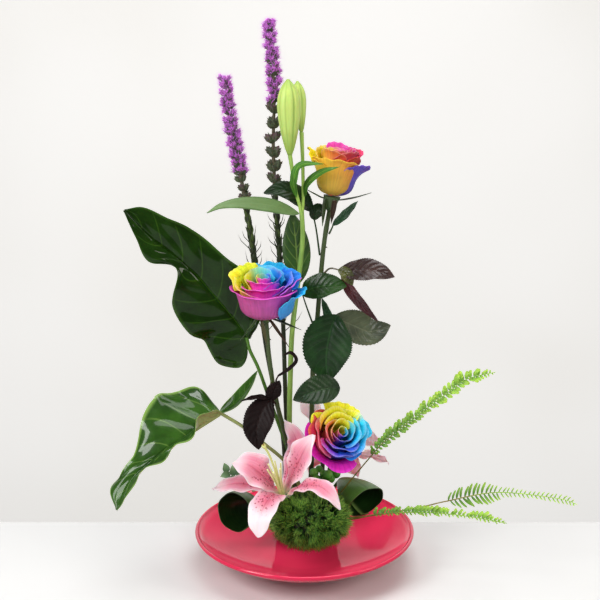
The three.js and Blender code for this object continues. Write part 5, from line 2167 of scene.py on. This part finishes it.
ROSE_LEAVES = (
    RoseLeaf("upper_rose_leaf_1", ((14.6, 19.5, 312), (11, 19, 338), (7, 17, 357)), (
        leaflet(((7.5, 17, 356), (-5, 16, 369), (-22, 14, 377), (-39, 12, 374)), (0.1, -0.75, 0.65), 11),
        leaflet(
            ((9, 18, 347), (10.5, 17.5, 354), (14, 18.5, 358), (19, 21, 357)), (0.3, -0.8, 0.5), 7, rows=60,
        ),
    ), DARK_LEAF),
    RoseLeaf("upper_rose_leaf_2", ((23.5, 15.6, 334), (25.6, 13, 339), (27.4, 10.6, 344)), (
        leaflet(
            ((26.4, 11, 343), (37, 6, 353), (50, 2, 368)), (-0.4, -0.8, 0.4), 4.6, teeth=18,
            tint=(1.0, 1.6, 2.2),
        ),
    ), DARK_LEAF),
    RoseLeaf("upper_rose_leaf_3", ((9.4, 15.8, 240), (2, 12, 262), (-2, 6.4, 276)), (
        leaflet(
            ((-2, 6, 276), (8, 3, 283), (24, -1, 287), (40, -4, 287)), (0, -0.8, 0.6), 13.5,
            tint=(1.5, 1.7, 0.9),
        ),
    ), DARK_LEAF),
    RoseLeaf("upper_rose_leaf_4", ((18.8, 15.6, 295), (25, 11, 301), (36, 4, 300)), (
        leaflet(((33, 5, 301), (47, 3, 300), (66, 1, 301), (86, 0, 295)), (0, -0.7, 0.75), 13),
        leaflet(
            ((35, 4.4, 302), (42, 1, 285), (54, -5, 270), (70, -10, 254)), (-0.6, -0.7, 0.3), 6,
            tint=(1.3, 0.5, 0.7),
        ),
        leaflet(
            ((32, 1, 302), (39, -1, 299), (46, -3, 288)), (-0.2, -0.9, 0.4), 6.5, rows=50, fold=0.3,
            tint=(1.6, 3.4, 0.8),
        ),
    ), BRONZE_LEAF),
    RoseLeaf("upper_rose_leaf_5", ((14.4, 16.8, 238), (20, 12, 246), (29, 4, 254), (33, 1, 257)), (
        # This leaflet's tint gives the leaf's own grey-brown, lifted lighter and greyer as a painted sheen.
        leaflet(
            ((28, 4.6, 254), (46, 4, 246), (64, 2, 240), (83, 0, 247)), (0.1, -0.85, 0.5), 17,
            tint=(7.5, 2.8, 7.0),
        ),
        leaflet(
            ((31, 2.4, 257), (25, -1, 242), (21, -5, 217), (22, -8, 192)), (-0.1, -0.95, 0.3), 25,
            tint=(1.3, 1.5, 1.5),
        ),
        leaflet(
            ((19, 12.6, 244), (24, 22, 246), (21, 25, 257), (17, 24, 268)), (-0.3, -0.9, 0.2), 4.5, rows=50,
            tint=(3.5, 3.0, 6.0),
        ),
    ), DARK_LEAF),
    RoseLeaf("upper_rose_leaf_6", ((10.2, 15.9, 172), (24, 4, 181), (32, -10, 187), (33, -17, 187.5)), (
        leaflet(
            ((34, -15, 187.5), (21, -22, 190), (4, -30, 188), (-11, -35, 183)), (0, -0.9, 0.45), 15,
            fold=0.25, tint=(1.8, 1.4, 1.9),
        ),
    ), DARK_LEAF),
    RoseLeaf("middle_rose_leaf_1", ((-28.4, -14.1, 172), (-31, -20, 178), (-33.4, -22.6, 180.4)), (
        leaflet(((-32, -23, 181), (-40, -29, 171), (-46, -34, 153), (-44, -38, 134)), (-0.2, -1, 0.2), 15),
        leaflet(((-32, -22, 178), (-30, -24, 188), (-24, -25, 199)), (0.2, -1, 0.2), 8, rows=60),
        leaflet(
            ((-32, -22, 180), (-46, -30, 184), (-61, -36, 182)), (0, -0.5, 1), 3.4, Outline.LANCE, teeth=0,
        ),
    ), MAROON_LEAF),
    RoseLeaf("middle_rose_leaf_2", ((-28, -16.4, 192), (-27, -19, 199), (-24, -21, 204)), (
        leaflet(
            ((-26, -20, 202), (-14, -25, 212), (-8, -28, 221), (-13, -28, 228), (-20, -26, 225)),
            (0, -1, 0), 1.8, Outline.STRAP, teeth=0,
        ),
    ), MAROON_LEAF),
)

UPPER_ROSE = Rose(
    "upper_rose", (YELLOW, YELLOW, VIOLET),
    ((5, 25, 26), (6, 22, 62), (7, 19, 101), (8, 18, 186), (12, 18, 242), (18, 17, 318), (24.5, 15, 362)),
    29.5, 47, (25.8, 15, 371.4), (0.13, 0, 1), 2.4,
    Ring({-2.6: "ecac20", FRONT: "e4583c", -0.6: "cc2c50", 0.3: "c42850", 1.3: "e440a4", 2.4: "ecc81c"}),
    Ring({-2.6: "ecb41c", FRONT: "dc4c34", -0.6: "bc244c", 0.3: "c02858", 1.3: "e438ac", 2.4: "f0dc20"}),
    (
        Whorl(3, 2.3, 0.15, 0.86, 0.2), Whorl(3, 1.7, 0.32, 0.9, 0.3), Whorl(4, 1.3, 0.5, 0.93, 0.5),
        Whorl(4, 1.1, 0.68, 0.94, 0.7, 0.1),
    ),
    (
        Petal(
            -1.8, 1.3, 1.0, 0.79, 0.3, 0.36, ("b49410", "e8b808", "f6cc30"), ruffle=1.4, tone=0.31,
            blush="dc8420",
        ),
        Petal(
            -0.66, 0.62, 1.06, 0.72, 0.3, 0.5, ("382488", "5034b4", "7c60e0"), lip=0.7, tone=0.62, twist=0.12,
        ),
        Petal(2.95, 0.75, 1.0, 0.86, 0.5, 0.5, ("d4ac08", "f4dc0c", "f8e83c"), lip=0.7, ruffle=2.2, tone=0.2),
        Petal(0.5, 0.8, 0.86, 0.93, 1.0, 0.15, ("90183c", "cc3450", "e04080"), tone=0.8),
        Petal(1.6, 0.8, 0.8, 1.0, 0.9, 0.1, ("b02868", "e040a0", "ec60c4"), tone=0.45),
        Petal(-2.55, 0.7, 0.95, 0.7, 0.5, 0.45, ("bc9408", "ecb808", "f4d034"), ruffle=1.6, tone=0.05),
        Petal(-0.75, 0.55, 0.84, 0.86, 0.8, 0.15, ("98301c", "d0542c", "cc3c44"), tone=0.52),
    ),
    ((-0.1, 37, 12, 0), (-1.2, 7.5, -22, 0), (-2.4, 7, -26, 0), (3.3, 27, 8, 0), (2.2, 8, -20, 0)),
    seed=3, calyx_height=16, neck=1.12, sepal_width=2.8,
)
MIDDLE_ROSE = Rose(
    "middle_rose", (MAGENTA, MAGENTA, BLUE),
    ((-3, 8, 26), (-6, 5, 62), (-14, -1, 114), (-28, -12, 176), (-34, -17, 220), (-36.4, -19.4, 254.4)),
    38, 44, (-37, -22.6, 264), (-0.04, -0.22, 0.975), 2.3,
    Ring({
        -3.0: "f0e028", -2.6: "f09c58", -2.25: "f030b8", -1.4: "f02cdc", -1.05: "8c48dc",
        -0.6: "3c54d8", 0.3: "2868e0", 1.3: "1cb4e4", 2.1: "a0dc80", 2.5: "ece834",
    }),
    Ring({
        -3.0: "f0e428", -2.6: "f0a44c", -2.3: "f034b4", -1.3: "ec28d0", -0.9: "8c3cd4",
        -0.45: "7440d0", 0.1: "2c6ce0", 0.8: "209ce4", 1.7: "18b4e4", 2.2: "70cca8", 2.6: "f0e828",
    }),
    (
        Whorl(3, 2.3, 0.18, 0.92, 0.3), Whorl(3, 1.7, 0.44, 0.93, 0.7), Whorl(4, 1.35, 0.72, 0.86, 0.9, 0.1),
    ),
    (
        Petal(
            -1.82, 1.6, 0.99, 0.79, 0.8, 0.14, ("8c2060", "c43a90", "e860cc"), lip=0.88, ruffle=0.8,
            tone=0.35, blush="b444c4",
        ),
        Petal(
            -0.5, 0.62, 1.12, 0.68, 0.5, 0.25, ("1068b4", "1498e0", "48c8f4"), foot=0.3, ruffle=1.8, tone=0.7,
            twist=-0.06,
        ),
        Petal(2.8, 0.75, 0.88, 0.9, 1.0, 0.2, ("c87850", "ecd828", "f4ec60"), tone=0.15),
        Petal(1.5, 0.95, 0.9, 0.86, 1.2, 0.15, ("1068a8", "149cd8", "38c0ec"), ruffle=2.2, tone=0.55),
        Petal(0.45, 0.8, 0.9, 0.84, 1.2, 0.15, ("1450b8", "2070d8", "3094ec"), ruffle=1.8, tone=0.85),
        Petal(2.2, 0.6, 0.9, 0.9, 1.2, 0.2, ("a8b020", "d4d82c", "e8e85c"), ruffle=1.6, tone=0.05),
        Petal(-0.4, 0.6, 0.88, 0.88, 0.5, 0.2, ("7c34a4", "a848c8", "cc70e0"), tone=0.25),
    ),
    ((-0.5, 38, -4, 0), (-1.0, 30, -20, 6), (2.2, 24, -4, 0), (3.6, 28, -16, 0), (-2.0, 9, -24, 4)),
    seed=6, neck=1.1, sepal_width=1.8,
)
LOWER_ROSE = Rose(
    "lower_rose", (YELLOW, MAGENTA, BLUE),
    ((15, 18, 26), (17, 15, 62), (18, 13, 90), (19, 10, 108), (22.2, 4.8, 122.2)),
    33, 42, (25.4, -3, 128.4), (0.3, -0.77, 0.58), 2.3,
    Ring({
        -2.9: "f07050", -2.3: "dc3c74", -1.8: "6c38cc", FRONT: "2c3cc8", -0.6: "2c54d0", 0.1: "28b0e0",
        0.6: "78dcd0", 0.9: "f4f04c", 2.2: "f8ec38", 2.9: "f4b050",
    }),
    Ring({
        -2.9: "e04058", -2.3: "dc387c", -1.9: "9838c4", FRONT: "3044cc", -0.8: "2860d8", -0.2: "18b4e4",
        0.75: "20c4e8", 1.0: "f4f030", 2.3: "f8ec28", 2.9: "f09050",
    }),
    (
        Whorl(3, 2.2, 0.15, 0.9, 0.3), Whorl(3, 1.6, 0.34, 0.96, 0.7), Whorl(4, 1.2, 0.56, 0.95, 1.0),
        Whorl(5, 1.0, 0.78, 0.88, 1.2),
    ),
    (
        Petal(-2.05, 1.25, 1.07, 0.64, 0.8, 0.35, ("ac1c88", "dc24b4", "f044d4"), ruffle=1.2, tone=0.25),
        Petal(0.15, 0.75, 0.94, 0.76, 1.2, 0.2, ("1484c4", "18b4e4", "48d0f0"), ruffle=2.0, tone=0.65),
        Petal(1.75, 0.85, 0.92, 0.82, 1.3, 0.15, ("ecd020", "f8ec28", "fcf850"), ruffle=2.6, tone=0.4),
        Petal(2.95, 0.7, 0.92, 0.78, 1.2, 0.2, ("b82444", "d83858", "f08048"), tone=0.9),
        Petal(-0.85, 0.6, 0.86, 0.76, 1.3, 0.2, ("1438a4", "1858cc", "2090e0"), tone=0.1),
        Petal(1.15, 0.6, 0.86, 0.86, 1.2, 0.15, ("ecd828", "f8f030", "fcf858"), ruffle=2.6, tone=0.7),
        Petal(2.4, 0.6, 0.88, 0.84, 1.2, 0.15, ("ecd020", "f8ec28", "fcf850"), ruffle=2.4, tone=0.55),
    ),
    ((-0.7, 20, -2, 0), (0.6, 22, -4, 0), (1.9, 20, -2, 0), (3.1, 22, -4, 0), (4.3, 20, -2, 0)),
    seed=9,
)

LONG_LEAF = LeafFinish(
    "lily_leaf_green", Slot.LILY_LEAF, "587548", "42602f", "8aa077", "8ba56a", Veins(0, 0, 0), 0.35, 0.05,
    roughness=0.46, coat=0.05,
)
YOUNG_LEAF = LeafFinish(
    "lily_leaf_dark", Slot.LILY_LEAF, "375a22", "263f18", "5c7a40", "7e9a48", Veins(6, 0.3, 0.8, 0.12),
    0.5, 0.08, roughness=0.42, coat=0.05,
)

LILY_BUDS = LilyBuds(
    ((-12, 22, 26), (-14, 21, 62), (-15, 18, 110), (-15, 13, 151), (-14, 8, 193), (-12, 7, 240), (-5, 6, 300),
     (-2, 6, 332), (-3, 5.5, 358)),
    (
        ((-3, 5.5, 352), (-5, 4.5, 364), (-9, 2, 380), (-14, 0, 412.5)),
        ((-3, 5.5, 352), (-1.5, 7, 370), (-2, 12, 404), (-3, 15, 431.5)),
    ),
    {
        "lily_bud_front": (((-14, 0, 412.6), (-15, 0, 448), (-15.5, 0, 482)), 11),
        "lily_bud_back": (((-3.1, 15.2, 431.6), (-5.5, 16.5, 456), (-7, 17.5, 479)), 7),
    },
    {
        "lily_leaf_1": (LONG_LEAF, Blade(
            ((-5.5, 3.5, 356), (-31, -6, 365), (-57, -14, 369), (-77, -22, 368), (-90, -30, 363)),
            (0, -0.7, 0.7), 8.2, outline=Outline.LANCE, fold=0.15, rows=80, columns=17, curl=-0.6,
        )),
        "lily_leaf_2": (YOUNG_LEAF, Blade(
            ((-8.1, 1, 372), (-10, -6, 389), (-4, -12, 404), (17, -22, 407)), (-0.5, -0.6, 0.5), 4.8,
            (0, -0.7, 0.7), Outline.LANCE, fold=0.2, columns=13, tint=(1.3, 1.8, 0.8),
        )),
        "lily_leaf_3": (YOUNG_LEAF, Blade(
            ((-0.1, 5.1, 372), (3, -3, 386), (16, -12, 398), (32, -20, 404)), (-0.5, -0.7, 0.5), 4.4,
            outline=Outline.LANCE, fold=0.2, columns=13, tint=(1.3, 1.8, 0.8),
        )),
        "lily_leaf_4": (YOUNG_LEAF, Blade(
            ((-6.4, 10, 286), (-7, 12, 303), (-9, 14, 330), (-12, 13, 355)), (0, -1, 0.15), 13.5,
            veins=Veins(6, 0.3, 0.8), rows=90, columns=29, curl=-0.8,
        )),
    },
)
OPEN_LILY = Lily(
    "open_lily", (-21, -46, 89), (-0.18, -0.44, 0.88),
    (
        Tepal(((-35, -70, 96), (-42, -85, 85), (-44, -88, 66)), 13.5, 1.2, outline=Outline.TONGUE),
        Tepal(((0, -68, 110), (13, -77, 113), (25, -83, 106), (33, -86, 93)), 8.5, 1.8),
        Tepal(((-9, -54, 121), (-1, -56, 140), (8, -56, 156)), 15.5, 1.4),
        Tepal(((-14, -32, 117), (-8, -24, 138), (-20, -20, 158)), 9),
        Tepal(((-40, -54, 114), (-54, -54, 125), (-69, -50, 125)), 17, 1.6),
        Tepal(((-48, -36, 97), (-70, -34, 97), (-90, -30, 90)), 10),
    ),
    ((-13, 4, 32), (-14, -5, 62), (-16, -20, 77), (-19.8, -43, 84.4)),
)
BACK_LILY = BackLily(
    "back_lily", (34, 41, 104), (0.13, 0.76, 0.62),
    (
        Tepal(((15, 58, 128), (4, 62, 144), (-3, 66, 160)), 13),
        Tepal(((36, 60, 122), (38, 66, 134), (38, 76, 138)), 9),
        Tepal(((54, 62, 112), (66, 68, 104), (77, 78, 92)), 13),
        Tepal(((56, 58, 92), (72, 62, 88), (89, 70, 77)), 8),
        Tepal(((42, 76, 82), (50, 88, 66), (58, 96, 50)), 13),
        Tepal(((22, 70, 88), (12, 82, 74), (4, 90, 60)), 9),
    ),
    ((20, 36, 26), (22, 35, 62), (28, 34, 86), (34.8, 37, 101.5)), spotted=False,
)

ANTHURIUM_VEINS = Veins(7, 0.18, 0.9, 0.05)
UPPER_ANTHURIUM = Anthurium(
    "upper_anthurium_leaf",
    ((3, 16, 26), (0, 12, 62), (-8, 11, 84), (-15, 10, 110), (-33, 8, 164), (-45, 8, 200), (-53.5, 9, 219),
     (-56.5, 9.7, 232)),
    ((-56, 10, 231), (-67, 10, 248), (-81, 9, 266), (-103, 6, 294), (-126, 3, 317), (-147, 0, 335),
     (-170, -4, 361)),
    (-0.25, -0.95, 0.2), (0.1, -0.85, 0.5),
    (
        Half((
            (-2, 2), (-16, 11), (-21, 24), (-8, 38), (10, 38), (24, 37), (42, 42), (63, 40), (84, 30),
            (101, 9), (126, 20), (147, 12), (174, 0),
        ), (0.1, 0.3)),
        Half((
            (-2, 2), (0.5, 6), (5, 15), (13, 26), (24, 33), (38, 38), (56, 39), (78, 34), (102, 31),
            (124, 28), (146, 22), (165, 13), (174, 0),
        ), (0.1, 0.3)),
    ),
    LeafFinish(
        "anthurium_dark", Slot.ANTHURIUM_LEAF, "1b360a", "0e2204", "4c7030", "49701f", ANTHURIUM_VEINS, 0.34,
        0.015, edge="38581f", roughness=0.35, coat=0.4, polish=0.04, shine=0.0,
    ),
)
LOWER_ANTHURIUM = Anthurium(
    "lower_anthurium_leaf",
    ((5, -1, 28), (0, -4, 62), (-8, -8, 90), (-20, -12, 112), (-39, -21, 133), (-58, -27, 152),
     (-82, -28, 168)),
    ((-81, -30, 166), (-97, -39, 158), (-113, -49, 150), (-130, -56, 142), (-150, -64, 127),
     (-162, -68, 116), (-177, -74, 89)),
    (-0.1, -0.76, 0.61), (-0.3, -0.8, 0.5),
    (
        Half((
            (-2, 2), (0, 8), (8, 16), (20, 23), (31, 22), (41, 14), (52, 9), (66, 7), (80, 5), (94, 4),
            (108, 3), (124, 5), (137, 0),
        ), (1.75, 0.6)),
        Half((
            (-2, 2), (-3, 14), (-1, 31), (7, 43), (22, 48), (36, 53), (52, 49), (64, 37), (76, 26),
            (91, 15), (108, 13), (123, 16), (137, 0),
        ), (0, 0.1)),
    ),
    LeafFinish(
        "anthurium_bright", Slot.ANTHURIUM_LEAF, "335a18", "1b3a0b", "8c8f5c", "7ea04c", ANTHURIUM_VEINS,
        0.45, 0.02, edge="8fb35a", roughness=0.3, coat=0.5, polish=0.06, shine=0.1,
    ),
    Blade(
        ((-82, -29, 167), (-66, -20, 176), (-54, -10, 189), (-46, 0, 201)), (-0.7, -0.65, 0.3), 8, cup=0.3,
        rows=50,
    ),
)
ROLLED_LEAVES = (
    RolledLeaf(
        "left_rolled_leaf", ((-10, 10, 44), (-28, 14, 50), (-50, 18, 55)), (-69, -16, 59), (19, 20), 0.6,
    ),
    RolledLeaf(
        "right_rolled_leaf", ((24, 24, 40), (27, 23, 62), (36, 16, 80)), (61, -20, 71.5), (21, 16.5), 1.5,
        wrap=3.4,
    ),
)
FERNS = (
    Fern(
        "fern_1",
        ((22, 12, 36), (27, 4, 58), (38, -22, 86), (65, -26, 123), (79, -26, 139), (112, -26, 167),
         (134, -26, 185), (155, -26, 201), (182, -26, 208)),
        0.43, (-0.25, -0.85, 0.45), 8.6, 38, 0.5,
        ((0, 0.5), (0.12, 0.9), (0.5, 0.85), (0.75, 1.1), (0.9, 0.8), (1, 0.25)), width=0.52, lean=0.5,
        crinkle=0.8, wild=0.18, lower_share=0.8, seed=4,
    ),
    Fern(
        "fern_2",
        ((17, 8, 42), (30, 2, 50), (50, -24, 57), (106, -30, 69), (139, -30, 77), (188, -32, 87),
         (246, -40, 84), (263, -45, 80)),
        0.53, (0, -0.9, 0.5), 12, 30, 0.12,
        ((0, 0.6), (0.1, 1), (0.28, 0.95), (0.42, 0.5), (0.6, 0.32), (0.92, 0.42), (1, 0.2)),
        width=0.22, seed=5,
    ),
    Fern(
        "fern_3",
        ((16, 2, 36), (26, -8, 46), (49, -38, 62), (70, -45, 70), (97, -52, 75), (126, -58, 77),
         (154, -65, 77), (191, -72, 73)),
        0.38, (0, -0.75, 0.65), 7.8, 34, 0.5,
        ((0, 0.9), (0.12, 0.9), (0.22, 0.6), (0.34, 1.2), (0.5, 0.8), (0.7, 0.7), (0.85, 0.9), (1, 0.3)),
        lower_share=0.5, width=0.48, lean=0.6, crinkle=0.8, wild=0.25, seed=6,
    ),
)
LIATRIS = (
    Liatris(
        "left",
        ((-17, 32, 26), (-20, 30, 62), (-22, 27, 124), (-38, 23, 218), (-50, 20, 318), (-57, 20, 364)),
        ((-57.2, 20, 364.6), (-62, 20, 396), (-70, 20, 440), (-75.5, 20, 482)),
        (0.02, 0.09, 0.16), 0.19, 15, 0.95, 21, 0.66, (0.62, 0.88),
    ),
    Liatris(
        "right",
        ((-9, 42, 26), (-12, 39, 62), (-17, 35, 111), (-19, 32, 157), (-21, 30, 235), (-24, 30, 303),
         (-29, 30, 374)),
        ((-29, 30, 374.6), (-30, 30, 420), (-29, 30, 473), (-34, 30, 533)),
        (0.04, 0.11, 0.2, 0.29, 0.38, 0.47), 0.51, 13, 1.25, 22, 0.7, (0.6, 0.9),
    ),
)


# ---------- Studio ----------


@dataclass(frozen=True)
class Paper(Finish):
    """A plain pale surface that the lights barely shade."""

    light: str = "f4f3ef"
    deep: str = "e9e5de"
    own_light: float = 0.0
    roughness: float = 0.6

    def paint(self, shader: Shader) -> None:
        """Adds the surface's nodes.

        Args:
            shader: the shader that they join.
        """
        cloud = shader.noise(0.9, 2).smooth(0.35, 0.7)
        colour = shader.mix(cloud, self.light, self.deep)
        shader.finish(
            colour, self.roughness + shader.noise(40) * 0.1, shader.noise(5, 4) * 6, Emission_Color=colour,
            Emission_Strength=self.own_light, Specular_IOR_Level=0.2,
        )


LIT_MIDDLE = (0, 0, 0.22)  # what the lights look at, in metres


@dataclass(frozen=True)
class Area:
    """One square soft light that looks at the arrangement."""

    name: str
    place: Point
    size: float
    power: float
    colour: str = "ffffff"
    shades: bool = True
    gleams: bool = True

    def make(self) -> None:
        """Makes the light."""
        light = bpy.data.objects.new(self.name, bpy.data.lights.new(self.name, "AREA"))
        light.data.size = self.size
        light.data.energy = self.power
        light.data.color = rgba(self.colour)[:3]
        light.location = self.place
        aim = Vector(LIT_MIDDLE) - Vector(self.place)
        light.rotation_euler = aim.to_track_quat("-Z", "Y").to_euler()
        light.visible_diffuse, light.visible_glossy = self.shades, self.gleams
        bpy.context.scene.collection.objects.link(light)
        log.info("light %s at %s", self.name, self.place)


@dataclass
class Studio:
    """The camera, the soft lights, the white table and the pale paper far behind it."""

    camera_place: Point = (-0.0045, -1.1625, 0.5751)
    camera_tilt: float = 75.4
    lens: float = 75
    sensor: float = 36
    table_half: float = 1.5
    table_back: float = 0.0897
    table_drop: float = 0.0002
    wall_back: float = 2.2
    wall_half: float = 5
    wall_low: float = -1.6
    wall_high: float = 2.4
    sky_seen: float = 0.93
    sky_cast: float = 0.16
    table: Finish = Paper("white_table", None, "dbdbdb", "d7d7d6", roughness=0.25)
    areas: Sequence[Area] = (
        Area("left_window", (-1.25, -0.95, 1.3), 0.85, 27),
        Area("edge_light", (-1.5, -1.05, 0.55), 0.6, 10, shades=False),
        Area("right_fill", (1.35, -0.55, 0.9), 0.5, 7, "fff8f0"),
        Area("top_light", (0.15, 0.0, 1.7), 1.0, 15),
        Area("front_fill", (0.3, -2.0, 1.3), 1.2, 21, gleams=False),
    )
    wall: Finish = Paper("pale_backdrop", None, "f6f5f3", "eeece8", own_light=0.48)

    def make(self) -> None:
        """Makes the whole studio."""
        self.make_camera()
        self.make_lights()
        half = self.table_half
        table = [(x, y, -self.table_drop) for x, y in self._corners(half, -half, self.table_back)]
        self.make_sheet("studio_table", table, self.table)
        across = self._corners(self.wall_half, self.wall_low, self.wall_high)
        self.make_sheet("studio_wall", [(x, self.wall_back, z) for x, z in across], self.wall)

    @staticmethod
    def _corners(half: float, low: float, high: float) -> Route:
        """Gives the corners of a rectangle that reaches as far to the left as to the right."""
        return (-half, low), (half, low), (half, high), (-half, high)

    def make_camera(self) -> None:
        """Makes the camera."""
        camera = bpy.data.objects.new("camera", bpy.data.cameras.new("camera"))
        camera.data.lens = self.lens
        camera.data.sensor_width = self.sensor
        camera.location = self.camera_place
        camera.rotation_euler = (math.radians(self.camera_tilt), 0, 0)
        bpy.context.scene.collection.objects.link(camera)
        bpy.context.scene.camera = camera

    def make_lights(self) -> None:
        """Makes the sky and the large soft lights."""
        world = bpy.data.worlds.new("studio_sky")
        world.use_nodes = True
        sky = Nodes(world.node_tree)
        sky.tree.nodes.remove(sky.tree.nodes["Background"])
        cast, seen = (
            sky.node("Background", None, {"Color": rgba("fbf9f5"), "Strength": strength})
            for strength in (self.sky_cast, self.sky_seen)
        )
        choice = sky.node("MixShader", None, {
            0: sky.node("LightPath", output="Is Camera Ray"), 1: cast, 2: seen,
        })
        sky.feed(sky.tree.nodes["World Output"].inputs["Surface"], choice)
        bpy.context.scene.world = world
        for area in self.areas:
            area.make()
        bpy.context.scene.view_settings.view_transform = "Standard"

    @staticmethod
    def make_sheet(name: str, corners: Route, finish: Finish) -> None:
        """Makes one flat surface of the studio.

        Args:
            name: its name.
            corners: its four corners, in metres.
            finish: its finish.
        """
        mesh = bpy.data.meshes.new(name)
        mesh.from_pydata(corners, [], [(0, 1, 2, 3)])
        sheet = bpy.data.objects.new(name, mesh)
        bpy.context.scene.collection.objects.link(sheet)
        mesh.materials.append(finish.material())
        log.info("stage %s", name)


def write_sizes() -> None:
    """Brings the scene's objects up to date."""
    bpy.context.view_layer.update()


def main() -> None:
    """Makes the studio and every sub-assembly of the arrangement, in order."""
    logging.basicConfig(level=logging.INFO, format="%(name)s: %(message)s")
    Studio().make()
    assemblies = (
        Holder(), UPPER_ROSE, MIDDLE_ROSE, LOWER_ROSE, *ROSE_LEAVES, LILY_BUDS, OPEN_LILY, BACK_LILY,
        UPPER_ANTHURIUM, LOWER_ANTHURIUM, *ROLLED_LEAVES, DianthusBall(), Berries(), *FERNS, Sprig(),
        *LIATRIS,
    )
    for assembly in assemblies:
        assembly.make()
    write_sizes()


if __name__ == "__main__":
    main()
